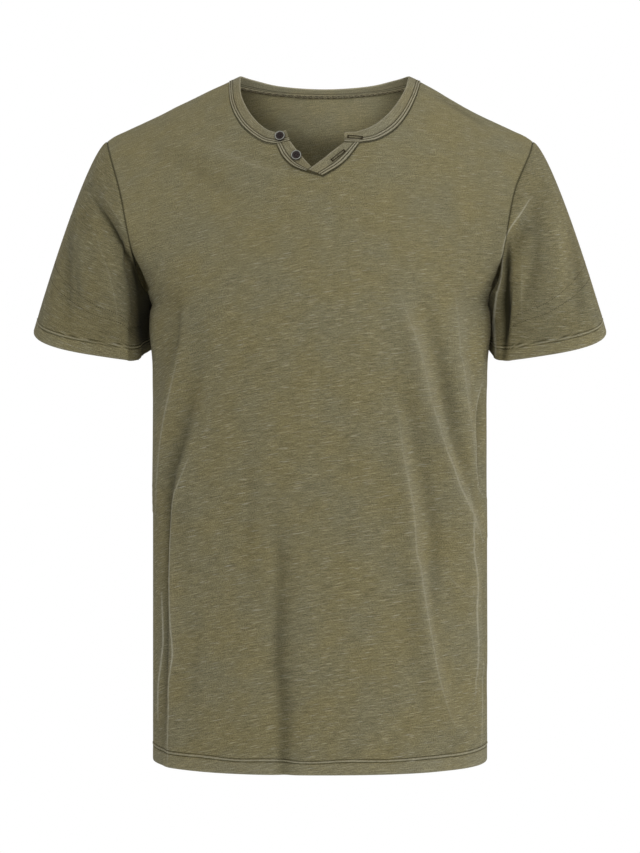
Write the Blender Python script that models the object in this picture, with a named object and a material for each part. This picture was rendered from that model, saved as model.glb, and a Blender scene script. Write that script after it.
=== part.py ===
"""Short-sleeved jersey t-shirt with a small notched v-neck and two buttons, filled out as it is worn.

Every piece that a maker cuts or sews on is one closed solid: front, back, two sleeves, a neckband, two
notch strips and two buttons. The cloth is a wall that follows one shared body surface, so neighbouring
pieces meet edge to edge with a hair's gap.

Sizes are in millimetres and become metres when a mesh is made. +X is the wearer's left, the front faces
-Y and +Z is up. The origin lies midway between the two points where the shoulders meet the neckband.
"""

import bmesh
import bpy
import numpy as np

METRES = 0.001

# ---------------------------------------------------------------- driving sizes, in mm
LENGTH = 706.0               # from the neck-side shoulder points down to the hem's edge
ARMPIT = -238.0              # height of the underarm point
WAIST = -400.0               # height of the section whose shape spaces the panels' columns
NECK_SHIFT = 5.0             # the neck hangs this far to the wearer's left of the middle
NECK_HALF = 99.5             # half the neck's width at its seam
TIP = 221.5                  # from the middle out to the shoulder tip
WALL = 1.6                   # jersey, as a solid wall
HEM_WALL = 2.4               # the same cloth folded up at a hem
HEM_DEPTH = 17.0             # body hem, edge to stitching
CUFF_DEPTH = 15.0            # sleeve hem, edge to stitching
BAND_WALL = 2.6              # neckband and notch strips, two layers
BAND_PROUD = 0.6             # how far they stand above the panels
GAP = 0.4                    # between neighbouring pieces
SQUARENESS = 2.4             # exponent of the body's superellipse sections
SQUAREST = 0.93              # an armhole never lies further out than this share of its section's depth
SLEEVE_LENGTH = 190.0        # along the cloth, on average round the sleeve
HEM_STEP = 2.0               # height over which a folded hem's wall thins to the single cloth
BUTTON_RADIUS = 5.4
BUTTON_THICKNESS = 2.4
BUTTON_RIM = 1.1             # width of the raised rim
BUTTON_DISH = 0.8            # how deep the middle lies below the rim
BUTTON_ROUND = 0.6           # how far its edges are rounded off
BUTTON_SEAT = 0.7            # how far its underside floats above the band's face, on its thread

# Height of the shoulder line at a distance from the neck's middle; inside the neck it is the slope of a
# general figure's neck, which only gives the depth of the cloth beside it.
SHOULDER_LINE = (
    # out, height
    (-25, 34), (0, 37), (25, 34), (50, 25), (75, 11), (90, 1.8), (100, -3.9), (109, -8.3),
    (117.3, -12.5), (132.4, -20.8), (148, -29), (164, -37.4), (182, -45.8), (200, -54), (218, -62.6),
    (224, -67),
)

# The body's sections: depth of the front and back at full swell, half the width at the side seams, and
# the wider oval that the middle of the chest follows above the underarm.
BODY = (
    # height, front, back, half_width, chest
    (0, 132, 118, 168, 300),
    (-110, 133, 120, 168, 262),
    (-163, 135, 124, 168, 232),
    (-200, 137, 126, 168, 211),
    (-238, 138.5, 126.5, 168, 194),
    (-252, 138.5, 126, 168.8, 189),
    (-272, 138, 125, 171.2, 184),
    (-295, 136.5, 123, 173.2, 179.5),
    (-340, 133, 118, 173.2, 174.5),
    (-400, 128, 112, 173.2, 173.2),
    (-500, 123, 107, 173.2, 173.2),
    (-600, 124, 111, 173.2, 173.2),
    (-706, 127, 119, 173.2, 173.2),
)
CHEST_ENDS = (0.55, 1.0)     # the chest's oval gives way to the side's between these shares of the width

# How fast the cloth comes forward (or back) below the shoulder line.
SWELL = {"front": (160.0, 0.60), "back": (130.0, 0.55)}      # length, exponent

# Armhole seams, from the underarm up to the shoulder tip.
ARMHOLE = (
    # height, out_right, out_left, front, back
    (-238, 168, 168, 0, 0),
    (-226, 176, 174, 33, 32),
    (-213, 182, 179.5, 50, 52),
    (-191, 189.5, 184.5, 64, 68),
    (-163, 194.5, 189, 69, 74),
    (-135, 200.5, 194.5, 62, 68),
    (-116, 205.5, 200, 52, 58),
    (-97, 211.5, 208.5, 39, 44),
    (-78, 217.5, 217, 22, 25),
    (-65.5, 221.5, 221.5, 0, 0),
)
ARMHOLE_MIDDLE = (190.0, 0.0, -155.0)

# Sleeve hem: its middle and the three half axes of its boxy oval, for the wearer's left sleeve.
CUFF_MIDDLE = (236.4, 0.0, -273.0)
CUFF_OUT = (61.6, 0.0, 9.9)
CUFF_FRONT = (-5.0, -52.0, -16.5)
CUFF_BACK = (-3.0, 52.0, 10.0)
CUFF_SQUARENESS = {"inner": 3.8, "outer": 2.6}
CUFF_HUG = 1.4                           # its inner side bends this far round the body, front and back
CUFF_PULL = (
    # place (0 underarm, 1 shoulder tip): direction in which the sleeve meets its hem, out and up
    (0.0, 0.2, -0.98),
    (0.5, 0.2, -0.98),
    (1.0, 0.27, -0.92),
)

# Direction and strength with which the sleeve leaves the armhole, by place round the armhole.
SLEEVE_PULL = (
    # place (0 underarm, 1 shoulder tip), out, forward, up
    (0.0, 6, 0, -34),
    (0.2, 24, 6, -50),
    (0.45, 48, 12, -45),
    (0.7, 56, 14, -42),
    (0.88, 57, 8, -34),
    (1.0, 56, 0, -31),
)

# Neckband from the notch's ends to the shoulder: seam to the panel and free edge, seen from the front.
NECK_RIGHT = (
    # seam_x, seam_z, edge_x, edge_z
    (-30.0, -75.5, -34.2, -64.4),
    (-43.7, -78.6, -43.5, -66.6),
    (-57.0, -75.5, -53.0, -63.0),
    (-72.3, -64.7, -63.5, -54.0),
    (-83.4, -51.0, -73.0, -40.5),
    (-91.6, -31.0, -80.5, -22.0),
    (-94.5, -3.8, -83.7, 1.6),
)
NECK_LEFT = (
    (24.4, -77.0, 24.4, -66.6),
    (39.7, -77.2, 36.5, -66.0),
    (57.5, -73.6, 50.5, -60.5),
    (75.5, -62.0, 65.0, -49.5),
    (88.5, -45.0, 76.5, -35.5),
    (98.0, -24.5, 86.5, -17.5),
    (104.5, -3.8, 93.7, 1.6),
)
BACK_NECK = (
    # out from the neck's middle, seam_z, edge_out, edge_z
    (99.5, -3.8, 88.7, 1.6),
    (94.0, -5.2, 83.5, 2.2),
    (80.0, -6.6, 71.0, 1.4),
    (50.0, -9.0, 45.0, -1.6),
    (0.0, -10.4, 0.0, -3.2),
)

# Notch: right and left ends of the floor of the front panel's cut, seen from the front.
NOTCH_FLOOR = ((-19.5, -105.5), (4.5, -112.0))
# The strips' free edges, upper and lower ends, and the short end that closes each strip along the floor.
STRIP_RIGHT_EDGE = ((-29.6, -76.4), (-11.0, -103.6))
STRIP_RIGHT_END = ((-15.5, -106.0), (-12.6, -106.6))         # at the panel, at the free edge
STRIP_LEFT_EDGE = ((24.0, -78.0), (-9.8, -103.2))
STRIP_LEFT_END = ((-6.0, -108.5), (-11.6, -107.0))
STRIP_LAP = 1.2                                              # the buttonhole strip's lower end laps over

BUTTONS = (
    # name, x, z
    ("button_upper", -39.9, -71.3),
    ("button_lower", -23.6, -91.6),
)

# The largest folds, seen from the front: a line through three points, and how far the cloth stands out.
# A fold at an armhole crosses from the panel into the sleeve.
FOLDS = (
    # place, face, height, half_width, start, middle, end
    ("body", "front", 5.0, 13, (-142, -278), (-152, -350), (-166, -455)),
    ("body", "front", 5.0, 12, (-132, -370), (-149, -500), (-153, -715)),
    ("body", "front", -3.5, 9, (-158, -420), (-161, -560), (-163, -715)),
    ("body", "front", -3.5, 22, (-112, -262), (-128, -340), (-140, -430)),
    ("body", "front", -2.5, 16, (-38, -480), (-39, -600), (-40, -720)),
    ("body", "front", 4.5, 15, (86, -255), (116, -372), (163, -485)),
    ("body", "front", 6.0, 12, (142, -290), (144, -345), (160, -425)),
    ("body", "front", -7.0, 13, (160, -300), (157, -370), (170, -440)),
    ("body", "front", 3.0, 14, (70, -362), (90, -440), (93, -520)),
    ("body", "front", 3.5, 13, (146, -445), (156, -530), (160, -620)),
    ("body", "front", 4.0, 17, (96, -490), (107, -580), (140, -700)),
    ("body", "front", -3.0, 16, (122, -440), (130, -560), (128, -715)),
    ("body", "back", 5.0, 16, (60, -235), (100, -330), (158, -440)),
    ("body", "back", 5.0, 16, (-62, -230), (-104, -335), (-160, -450)),
    ("body", "back", -4.0, 20, (-6, -300), (-16, -420), (4, -560)),
    ("body", "back", 4.5, 18, (-70, -420), (-84, -560), (-92, -720)),
    ("body", "back", 4.5, 18, (64, -440), (88, -580), (84, -720)),
    ("body", "back", -3.5, 14, (-132, -470), (-138, -600), (-134, -720)),
    ("body", "back", -3.5, 14, (130, -430), (136, -580), (140, -720)),
    ("armhole_right", "front", -7.0, 10, (-242, -112), (-206, -176), (-174, -226)),
    ("armhole_right", "front", 3.5, 10, (-206, -138), (-188, -172), (-168, -206)),
    ("sleeve_right", "front", 3.5, 11, (-222, -165), (-200, -210), (-188, -262)),
    ("sleeve_right", "front", 4.0, 16, (-262, -140), (-240, -205), (-214, -262)),
    ("armhole_left", "front", -5.5, 10, (232, -112), (204, -168), (176, -224)),
    ("armhole_left", "front", 4.0, 10, (208, -124), (190, -160), (176, -200)),
    ("sleeve_left", "front", -4.0, 9, (194, -215), (188, -250), (190, -292)),
    ("sleeve_left", "front", 3.5, 16, (262, -135), (238, -200), (212, -268)),
    ("sleeve_right", "back", -6.0, 12, (-250, -120), (-216, -180), (-180, -240)),
    ("sleeve_left", "back", -6.0, 12, (250, -120), (216, -180), (180, -240)),
)
FOLD_SAMPLES = 25
FOLD_FADE = 42.0             # folds die away this close to the body's side and shoulder seams
HEAD_FADE = 0.12             # and within this share of a sleeve's length from its armhole

# Shares of the way up an armhole between which neighbouring pieces come to share their normals.
JOIN_FROM, JOIN_TO = 0.05, 0.5
BAND_TILT = 0.1              # the band's normals lean this much outward at the shoulder points
STRIP_TOP = 1.0              # the notch strips start this far below the band's ends
LAP_FROM = 0.4               # share of the buttonhole strip's length from which it rises for its lap
SHARP = 50                   # degrees; edges sharper than this are shaded as corners

# How many cells each edge has. Neighbouring pieces share them, so their edges have the same corners.
ROWS_BELOW = 26
ROWS_ABOVE = 12
SHOULDER_CELLS = 8
NECK_CELLS = 6
NOTCH_CELLS = 3
BACK_NECK_CELLS = 14
SLEEVE_RINGS = 10
BUTTON_SIDES = 24
FINE = 200                   # points of a curve before it is divided evenly

OLIVE = (0.195, 0.176, 0.098)
BUTTON_GREY = (0.21, 0.20, 0.18)


# ---------------------------------------------------------------- reading tables
def smooth_read(rows, column, at):
    """Value of a column of a table at a place in its first column, along a smooth curve."""
    table = sorted((row[0], row[column]) for row in rows)
    place = np.array([row[0] for row in table], float)
    value = np.array([row[1] for row in table], float)
    slope = np.gradient(value, place)
    at = np.clip(np.asarray(at, float), place[0], place[-1])
    low = np.clip(np.searchsorted(place, at) - 1, 0, len(place) - 2)
    span = place[low + 1] - place[low]
    t = (at - place[low]) / span
    ease = t * t * (3 - 2 * t)
    bend_in = t * (1 - t) ** 2 * span * slope[low]
    bend_out = -t * t * (1 - t) * span * slope[low + 1]
    return value[low] * (1 - ease) + value[low + 1] * ease + bend_in + bend_out


def smooth_step(low, high, value):
    """0 below low, 1 above high, with a soft start and end."""
    t = np.clip((np.asarray(value, float) - low) / (high - low), 0, 1)
    return t * t * (3 - 2 * t)


def spline(points):
    """A finely divided smooth curve through the given points."""
    points = np.array(points, float)
    count = len(points)
    padded = np.vstack([2 * points[0] - points[1], points, 2 * points[-1] - points[-2]])
    fine = []
    for i in range(count - 1):
        a, b, c, d = padded[i:i + 4]
        for t in np.linspace(0, 1, 20, endpoint=False):
            fine.append(0.5 * (2 * b + (c - a) * t + (2 * a - 5 * b + 4 * c - d) * t**2
                               + (3 * b - a - 3 * c + d) * t**3))
    fine.append(points[-1])
    return np.array(fine)


def even(points, cells):
    """The same path with evenly spaced points."""
    run = np.concatenate([[0], np.cumsum(np.linalg.norm(np.diff(points, axis=0), axis=1))])
    places = np.linspace(0, run[-1], cells + 1)
    return np.stack([np.interp(places, run, points[:, i]) for i in range(points.shape[1])], axis=1)


def unit(vectors):
    """The same directions with length 1."""
    size = np.linalg.norm(vectors, axis=-1, keepdims=True)
    return vectors / np.maximum(size, 1e-9)


# ---------------------------------------------------------------- the body's surface
def neck_out(x):
    """Distance from the neck's middle, whose shift dies away towards the shoulder tips."""
    shift = NECK_SHIFT * np.clip((150 - np.abs(x)) / 50, 0, 1)
    return np.abs(x - shift)


def shoulder_height(x):
    return smooth_read(SHOULDER_LINE, 1, neck_out(x))


def swell(face, fall):
    """Share of the full depth that the cloth has reached this far below the shoulder line."""
    length, power = SWELL[face]
    return (1 - np.exp(-np.maximum(fall, 0) / length)) ** power


def full_depth(face, x, z):
    """Depth of the cloth in the middle of its section."""
    column = 1 if face == "front" else 2
    return smooth_read(BODY, column, z) * swell(face, shoulder_height(x) - z)


def reach(face, side, x, z):
    """Half width of the section's oval: at the panel's edge it passes through the armhole or side seam."""
    below = smooth_read(BODY, 3, z)
    out = smooth_read(ARMHOLE, 1 if side < 0 else 2, z)
    off = smooth_read(ARMHOLE, 3 if face == "front" else 4, z)
    share = np.clip(off / np.maximum(full_depth(face, side * out, z), 1), 0, SQUAREST)
    above = out / (1 - share**SQUARENESS) ** (1 / SQUARENESS)
    edge = np.where(z > ARMPIT, out, below)
    at_edge = np.where(z > ARMPIT, above, below)
    near_edge = smooth_step(*CHEST_ENDS, np.abs(x) / edge)
    return smooth_read(BODY, 4, z) * (1 - near_edge) + at_edge * near_edge


def depth(face, x, z):
    """Where the cloth's outer face lies, in y, at a place seen from the front."""
    wide = np.where(x < 0, reach(face, -1, x, z), reach(face, 1, x, z))
    across = np.clip(np.abs(x) / wide, 0, 1)
    sign = -1 if face == "front" else 1
    return sign * full_depth(face, x, z) * (1 - across**SQUARENESS) ** (1 / SQUARENESS)


def on_body(face, plan):
    """Points of the body's surface for places (x, z) seen from the front."""
    x, z = plan[..., 0], plan[..., 1]
    return np.stack([x, depth(face, x, z), z], axis=-1)


def surface_normal(face, plan):
    """Outward normals of the body's surface at places (x, z)."""
    step = 0.5
    x, z = plan[..., 0], plan[..., 1]
    slope_x = (depth(face, x + step, z) - depth(face, x - step, z)) / (2 * step)
    slope_z = (depth(face, x, z + step) - depth(face, x, z - step)) / (2 * step)
    sign = -1 if face == "front" else 1
    return unit(sign * np.stack([-slope_x, np.ones_like(x), -slope_z], axis=-1))


# ---------------------------------------------------------------- seams
def armhole_edge(face, side):
    """The armhole seam from the underarm to the shoulder tip: points, normals and the way out of the body."""
    height = np.linspace(ARMPIT, ARMHOLE[-1][0], FINE)
    out = smooth_read(ARMHOLE, 1 if side < 0 else 2, height)
    off = smooth_read(ARMHOLE, 3 if face == "front" else 4, height)
    sign = -1 if face == "front" else 1
    points = even(np.stack([side * out, sign * off, height], axis=1), ROWS_ABOVE)
    middle = np.array(ARMHOLE_MIDDLE) * (side, 1, 1)
    normals = unit(points - middle)
    run = np.gradient(points, axis=0)
    outward = unit(np.cross(normals, run))
    outward *= np.sign(outward[len(outward) // 2, 0] * side)
    return points, normals, outward


def shoulder_seam(side):
    """The shoulder seam's plan, from the shoulder tip in to the neck."""
    neck = NECK_SHIFT + side * NECK_HALF
    x = np.linspace(side * TIP, neck, FINE)
    return even(np.stack([x, shoulder_height(x)], axis=1), SHOULDER_CELLS)


def shoulder_normal(plan):
    """Upward normals along a shoulder seam."""
    x = plan[:, 0]
    slope = (shoulder_height(x + 1) - shoulder_height(x - 1)) / 2
    return unit(np.stack([-slope, np.zeros_like(x), np.ones_like(x)], axis=1))


def even_on_body(face, plan, cells):
    """The plan of a path on the body, with points evenly spaced along the cloth."""
    path = np.hstack([plan, on_body(face, plan)])
    run = np.concatenate([[0], np.cumsum(np.linalg.norm(np.diff(path[:, 2:], axis=0), axis=1))])
    places = np.linspace(0, run[-1], cells + 1)
    return np.stack([np.interp(places, run, plan[:, i]) for i in range(2)], axis=1)


def neck_chain(rows, columns):
    """A neckline's plan from the notch up to the shoulder, without the band's free end."""
    return even_on_body("front", spline([[row[i] for i in columns] for row in rows[1:]]), NECK_CELLS)


def back_neck(out_column, height_column):
    """The back neckline's plan, from the wearer's right to left."""
    right = [(NECK_SHIFT - row[out_column], row[height_column]) for row in BACK_NECK]
    left = [(NECK_SHIFT + row[out_column], row[height_column]) for row in reversed(BACK_NECK[:-1])]
    return even_on_body("back", spline(right + left), BACK_NECK_CELLS)


def front_top():
    """The front panel's upper edge: shoulder, neckline, notch, neckline, shoulder."""
    neck_right = neck_chain(NECK_RIGHT, (0, 1))
    neck_left = neck_chain(NECK_LEFT, (0, 1))
    floor_right, floor_left = np.array(NOTCH_FLOOR)
    notch_right = np.linspace(neck_right[0], floor_right, NOTCH_CELLS + 1)
    notch_left = np.linspace(floor_left, neck_left[0], NOTCH_CELLS + 1)
    to_floor = np.vstack([shoulder_seam(-1), neck_right[-2::-1], notch_right[1:]])
    from_floor = np.vstack([notch_left, neck_left[1:], shoulder_seam(1)[-2::-1]])
    return np.vstack([to_floor, from_floor])


def back_top():
    """The back panel's upper edge: shoulder, neckline, shoulder."""
    return np.vstack([shoulder_seam(-1), back_neck(0, 1)[1:], shoulder_seam(1)[::-1][1:]])


# ---------------------------------------------------------------- folds
def fold_height(points, places):
    """How far the folds in the named places move each point out along its normal."""
    place = points[..., (0, 2)]
    total = np.zeros(points.shape[:-1])
    for owner, face, height, half_width, start, middle, end in FOLDS:
        if owner not in places:
            continue
        t = np.linspace(0, 1, FOLD_SAMPLES)[:, None]
        line = (1 - t) ** 2 * np.array(start) + 2 * t * (1 - t) * np.array(middle) + t**2 * np.array(end)
        away = np.linalg.norm(place[..., None, :] - line, axis=-1)
        nearest = away.argmin(axis=-1)
        along = t[nearest, 0]
        taper = np.sqrt(np.clip(4 * along * (1 - along), 0, 1))
        own_side = points[..., 1] < 0 if face == "front" else points[..., 1] > 0
        total += own_side * height * taper * np.exp(-((away.min(axis=-1) / half_width) ** 2))
    return total * smooth_step(0, FOLD_FADE, np.abs(points[..., 1]))


# ---------------------------------------------------------------- walls
def grid_normals(points, wrap):
    """Normals of a grid of points; wrap says that its columns close into a ring."""
    down = np.gradient(points, axis=0)
    if wrap:
        across = np.roll(points, -1, axis=1) - np.roll(points, 1, axis=1)
    else:
        across = np.gradient(points, axis=1)
    return unit(np.cross(across, down))


def wall_object(name, outer, inner, wrap, colour):
    """A closed wall between two grids of points, as one object."""
    rows, columns = outer.shape[:2]
    mesh = bmesh.new()
    skins = []
    for grid in (outer, inner):
        skins.append([[mesh.verts.new(point * METRES) for point in row] for row in grid])
    around = columns if wrap else columns - 1
    for skin in skins:
        for r in range(rows - 1):
            for c in range(around):
                d = (c + 1) % columns
                mesh.faces.new((skin[r][c], skin[r][d], skin[r + 1][d], skin[r + 1][c]))
    for r in (0, rows - 1):
        for c in range(around):
            d = (c + 1) % columns
            mesh.faces.new((skins[0][r][c], skins[0][r][d], skins[1][r][d], skins[1][r][c]))
    if not wrap:
        for c in (0, columns - 1):
            for r in range(rows - 1):
                mesh.faces.new((skins[0][r][c], skins[0][r + 1][c], skins[1][r + 1][c], skins[1][r][c]))
    bmesh.ops.recalc_face_normals(mesh, faces=mesh.faces)
    bmesh.ops.triangulate(mesh, faces=mesh.faces, quad_method="SHORT_EDGE")
    return add_object(name, mesh, colour)


def add_object(name, mesh, colour, metallic=0.0, roughness=0.9):
    """An object with its own material from a finished bmesh."""
    data = bpy.data.meshes.new(name)
    mesh.to_mesh(data)
    mesh.free()
    data.shade_smooth()
    data.set_sharp_from_angle(angle=np.radians(SHARP))
    thing = bpy.data.objects.new(name, data)
    bpy.context.collection.objects.link(thing)
    material = bpy.data.materials.new(name)
    material.use_nodes = True
    shader = material.node_tree.nodes["Principled BSDF"]
    shader.inputs["Base Color"].default_value = (*colour, 1)
    shader.inputs["Roughness"].default_value = roughness
    shader.inputs["Metallic"].default_value = metallic
    data.materials.append(material)
    return thing


# ---------------------------------------------------------------- front and back
def row_heights():
    """Heights of the rows from the hem's edge to the underarm, with a pair at the hem's stitching."""
    hem_top = -LENGTH + HEM_DEPTH
    rest = np.linspace(hem_top + HEM_STEP, ARMPIT, ROWS_BELOW - 1)
    return np.concatenate([[-LENGTH, hem_top], rest])


def section_places(face, columns):
    """Places across the body, in half widths, evenly spaced round its section."""
    angle = np.linspace(-np.pi / 2, np.pi / 2, 2 * FINE)
    power = 2 / SQUARENESS
    across = np.sign(angle) * np.abs(np.sin(angle)) ** power
    wide = smooth_read(BODY, 3, WAIST)
    deep = smooth_read(BODY, 1 if face == "front" else 2, WAIST)
    path = np.stack([across * wide, deep * np.abs(np.cos(angle)) ** power], axis=1)
    return even(path, columns)[:, 0] / wide


def panel_plan(face, top):
    """The panel's grid seen from the front: straight rows up to the underarm, then up to its top edge."""
    columns = len(top) - 1
    places = section_places(face, columns)
    heights = row_heights()
    wide = smooth_read(BODY, 3, heights)
    lower = np.stack([wide[:, None] * places, np.repeat(heights[:, None], columns + 1, axis=1)], axis=-1)
    right = armhole_edge(face, -1)[0][:, (0, 2)]
    left = armhole_edge(face, 1)[0][:, (0, 2)]
    up = np.linspace(0, 1, ROWS_ABOVE + 1)[:, None, None]
    over = np.linspace(0, 1, columns + 1)[None, :, None]
    bottom = lower[-1]
    upper = ((1 - up) * bottom + up * top + (1 - over) * right[:, None] + over * left[:, None]
             - (1 - over) * (1 - up) * bottom[0] - over * (1 - up) * bottom[-1]
             - (1 - over) * up * top[0] - over * up * top[-1])
    return np.vstack([lower, upper[1:]])


def join_normals(own, shared):
    """Normals along an armhole: the cloth's own at the underarm, where it folds down into the sleeve, and
    the shared ones from half way up."""
    place = np.linspace(0, 1, len(own))
    share = smooth_step(JOIN_FROM, JOIN_TO, place)[:, None]
    return unit(own * (1 - share) + shared * share)


def panel_edge_normals(face, plan, normals):
    """Replaces the normals along the panel's seams with the ones its neighbours share."""
    below = ROWS_BELOW + 1
    for side, column in ((-1, 0), (1, -1)):
        normals[:below, column] = (side, 0, 0)
        own = normals[below - 1:, column]
        normals[below - 1:, column] = join_normals(own, armhole_edge(face, side)[1])
    top = plan[-1]
    normals[-1] = surface_normal(face, top)
    cells = SHOULDER_CELLS + 1
    normals[-1, :cells] = shoulder_normal(top[:cells])
    normals[-1, -cells:] = shoulder_normal(top[-cells:])
    for side, column in ((-1, 0), (1, -1)):
        normals[-1, column] = armhole_edge(face, side)[1][-1]


def panel_gaps(face, shape):
    """Small moves along the panel's seams that leave room for its neighbours."""
    move = np.zeros(shape)
    inward = 1 if face == "back" else -1
    half = GAP / 2
    below = ROWS_BELOW + 1
    move[:below - 1, 0, 1] = inward * half
    move[:below - 1, -1, 1] = inward * half
    for side, column in ((-1, 0), (1, -1)):
        move[below - 1:, column] = -half * armhole_edge(face, side)[2]
        move[below - 1, column, 1] += inward * half
    cells = SHOULDER_CELLS + 1
    move[-1, :cells, 1] += inward * half
    move[-1, -cells:, 1] += inward * half
    return move


def make_panel(face, top):
    """The front or back panel, with its folded hem."""
    plan = panel_plan(face, top)
    outer = on_body(face, plan)
    cells = SHOULDER_CELLS + 1
    outer[-1, :cells, 1] = 0
    outer[-1, -cells:, 1] = 0
    sign = 1 if face == "front" else -1
    normals = sign * grid_normals(outer, False)
    panel_edge_normals(face, plan, normals)
    for side, column in ((-1, 0), (1, -1)):
        # Folds move both sides of an armhole alike, so here every normal is the shared one.
        normals[ROWS_BELOW:, column] = armhole_edge(face, side)[1]
    places = ("body", "armhole_right", "armhole_left")
    outer = outer + normals * fold_height(outer, places)[..., None]
    normals = sign * grid_normals(outer, False)
    panel_edge_normals(face, plan, normals)
    outer = outer + panel_gaps(face, outer.shape)
    thickness = np.full(outer.shape[:2] + (1,), WALL)
    thickness[:2] = HEM_WALL
    return wall_object(face, outer, outer - normals * thickness, False, OLIVE)


# ---------------------------------------------------------------- sleeves
def oval_place(turn):
    """Shares of the sleeve hem's outward and forward axes, at a turn from the underarm over the front."""
    out = -np.cos(turn)
    front = np.sin(turn)
    power = np.where(out < 0, 2 / CUFF_SQUARENESS["inner"], 2 / CUFF_SQUARENESS["outer"])
    return np.sign(out) * np.abs(out) ** power, np.sign(front) * np.abs(front) ** power


def sleeve_rings(side):
    """Points from the armhole to the sleeve's hem, and the seam's shared normals."""
    front, front_normals, front_out = armhole_edge("front", side)
    back, back_normals, back_out = armhole_edge("back", side)
    head = np.vstack([front[:-1], back[:0:-1]])
    head_out = np.vstack([front_out[:-1], back_out[:0:-1]])
    count = len(head)
    round_place = np.arange(count) / count
    up = 1 - np.abs(2 * round_place - 1)
    facing = np.where(round_place < 0.5, -1.0, 1.0)
    pull = np.stack([side * smooth_read(SLEEVE_PULL, 1, up),
                     facing * smooth_read(SLEEVE_PULL, 2, up),
                     smooth_read(SLEEVE_PULL, 3, up)], axis=1)
    mirror = np.array([side, 1, 1])
    out_share, front_share = oval_place(round_place * 2 * np.pi)
    middle, out_axis, front_axis, back_axis = (
        np.array(axis) * mirror for axis in (CUFF_MIDDLE, CUFF_OUT, CUFF_FRONT, CUFF_BACK))
    cuff = (middle + out_share[:, None] * out_axis + np.maximum(front_share, 0)[:, None] * front_axis
            + np.maximum(-front_share, 0)[:, None] * back_axis)
    cuff[:, 0] -= side * CUFF_HUG * np.maximum(-out_share, 0) * np.abs(front_share) * 2
    meet = np.stack([side * smooth_read(CUFF_PULL, 1, up), np.zeros(count), smooth_read(CUFF_PULL, 2, up)],
                    axis=1)
    leave = np.linalg.norm(cuff - head, axis=1)[:, None] * meet
    hem_start = 1 - CUFF_DEPTH / SLEEVE_LENGTH
    stitching = hem_start + HEM_STEP / SLEEVE_LENGTH
    places = np.concatenate([np.linspace(0, hem_start, SLEEVE_RINGS), [stitching, 1]])
    rings = []
    for t in places:
        rings.append((2 * t**3 - 3 * t**2 + 1) * head + (t**3 - 2 * t**2 + t) * pull
                     + (3 * t**2 - 2 * t**3) * cuff + (t**3 - t**2) * leave)
    return np.array(rings), places, (front_normals, back_normals), head_out


def head_normals(own, shared):
    """Normals round a sleeve's head, from the underarm over the front to the tip and down the back."""
    front, back = shared
    half = len(own) // 2
    front = join_normals(own[:half + 1], front)
    back = join_normals(np.vstack([own[half:], own[:1]])[::-1], back)
    return np.vstack([front[:-1], back[:0:-1]])


def make_sleeve(name, side):
    """A sleeve: a tube from the armhole to its folded hem."""
    outer, places, shared, head_out = sleeve_rings(side)
    sign = -side
    normals = sign * grid_normals(outer, True)
    normals[0] = np.vstack([shared[0][:-1], shared[1][:0:-1]])
    fade = smooth_step(0, HEAD_FADE, places)[:, None]
    armhole = name.replace("sleeve", "armhole")
    folds = fade * fold_height(outer, (name,)) + fold_height(outer, (armhole,))
    outer = outer + normals * folds[..., None]
    normals = sign * grid_normals(outer, True)
    normals[0] = head_normals(normals[0], shared)
    outer[0] += head_out * GAP / 2
    thickness = np.full(outer.shape[:2] + (1,), WALL)
    thickness[-2:] = HEM_WALL
    return wall_object(name, outer, outer - normals * thickness, True, OLIVE)


# ---------------------------------------------------------------- neckband and notch strips
def raised_wall(name, seam, edge, seam_normals, edge_normals, lift):
    """A strip between its seam and its free edge, standing a little above the panel."""
    across = unit(edge - seam)
    seam = seam + across * GAP
    middle = (seam + edge) / 2
    outer = np.stack([seam, middle, edge], axis=1)
    normals = np.stack([seam_normals, unit(seam_normals + edge_normals), edge_normals], axis=1)
    top = outer + normals * (BAND_PROUD + lift)
    return wall_object(name, top, top - normals * BAND_WALL, False, OLIVE)


def band_side(rows):
    """Seam and free edge of the band's front part, from the notch to the shoulder, as plans."""
    seam = np.vstack([np.array(rows[0][:2]), neck_chain(rows, (0, 1))])
    edge = np.vstack([np.array(rows[0][2:]), neck_chain(rows, (2, 3))])
    return seam, edge


def make_neckband():
    """The band round the neck, open at the notch."""
    seam_right, edge_right = band_side(NECK_RIGHT)
    seam_left, edge_left = band_side(NECK_LEFT)
    seam_back, edge_back = back_neck(0, 1), back_neck(2, 3)
    pieces = []
    for right, back, left in ((seam_right, seam_back, seam_left), (edge_right, edge_back, edge_left)):
        points = np.vstack([on_body("front", right), on_body("back", back)[1:-1],
                            on_body("front", left)[::-1]])
        normals = np.vstack([surface_normal("front", right), surface_normal("back", back)[1:-1],
                             surface_normal("front", left)[::-1]])
        for i in (len(right) - 1, len(right) + len(back) - 2):
            side = -1 if i < len(points) / 2 else 1
            points[i, 1] = 0
            normals[i] = shoulder_normal(points[i:i + 1, (0, 2)])[0]
            normals[i] = unit(normals[i] + np.array([side * BAND_TILT, 0, 0]))
        pieces.append((points, normals))
    (seam, seam_normals), (edge, edge_normals) = pieces
    return raised_wall("neckband", seam, edge, seam_normals, edge_normals, 0)


def make_strip(name, panel_edge, free_edge, end, lap):
    """A notch strip between the panel's cut and its own free edge, from its upper end down."""
    free = np.linspace(free_edge[0], free_edge[1], NOTCH_CELLS + 1)
    free[0, 1] -= STRIP_TOP
    panel_edge = panel_edge.copy()
    panel_edge[0] += unit(panel_edge[1] - panel_edge[0]) * STRIP_TOP
    panel_edge = np.vstack([panel_edge, end[0]])
    free = np.vstack([free, end[1]])
    seam, edge = on_body("front", panel_edge), on_body("front", free)
    lift = (smooth_step(LAP_FROM, 1.0, np.linspace(0, 1, len(free))) * lap)[:, None, None]
    return raised_wall(name, seam, edge, surface_normal("front", panel_edge),
                       surface_normal("front", free), lift)


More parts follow.
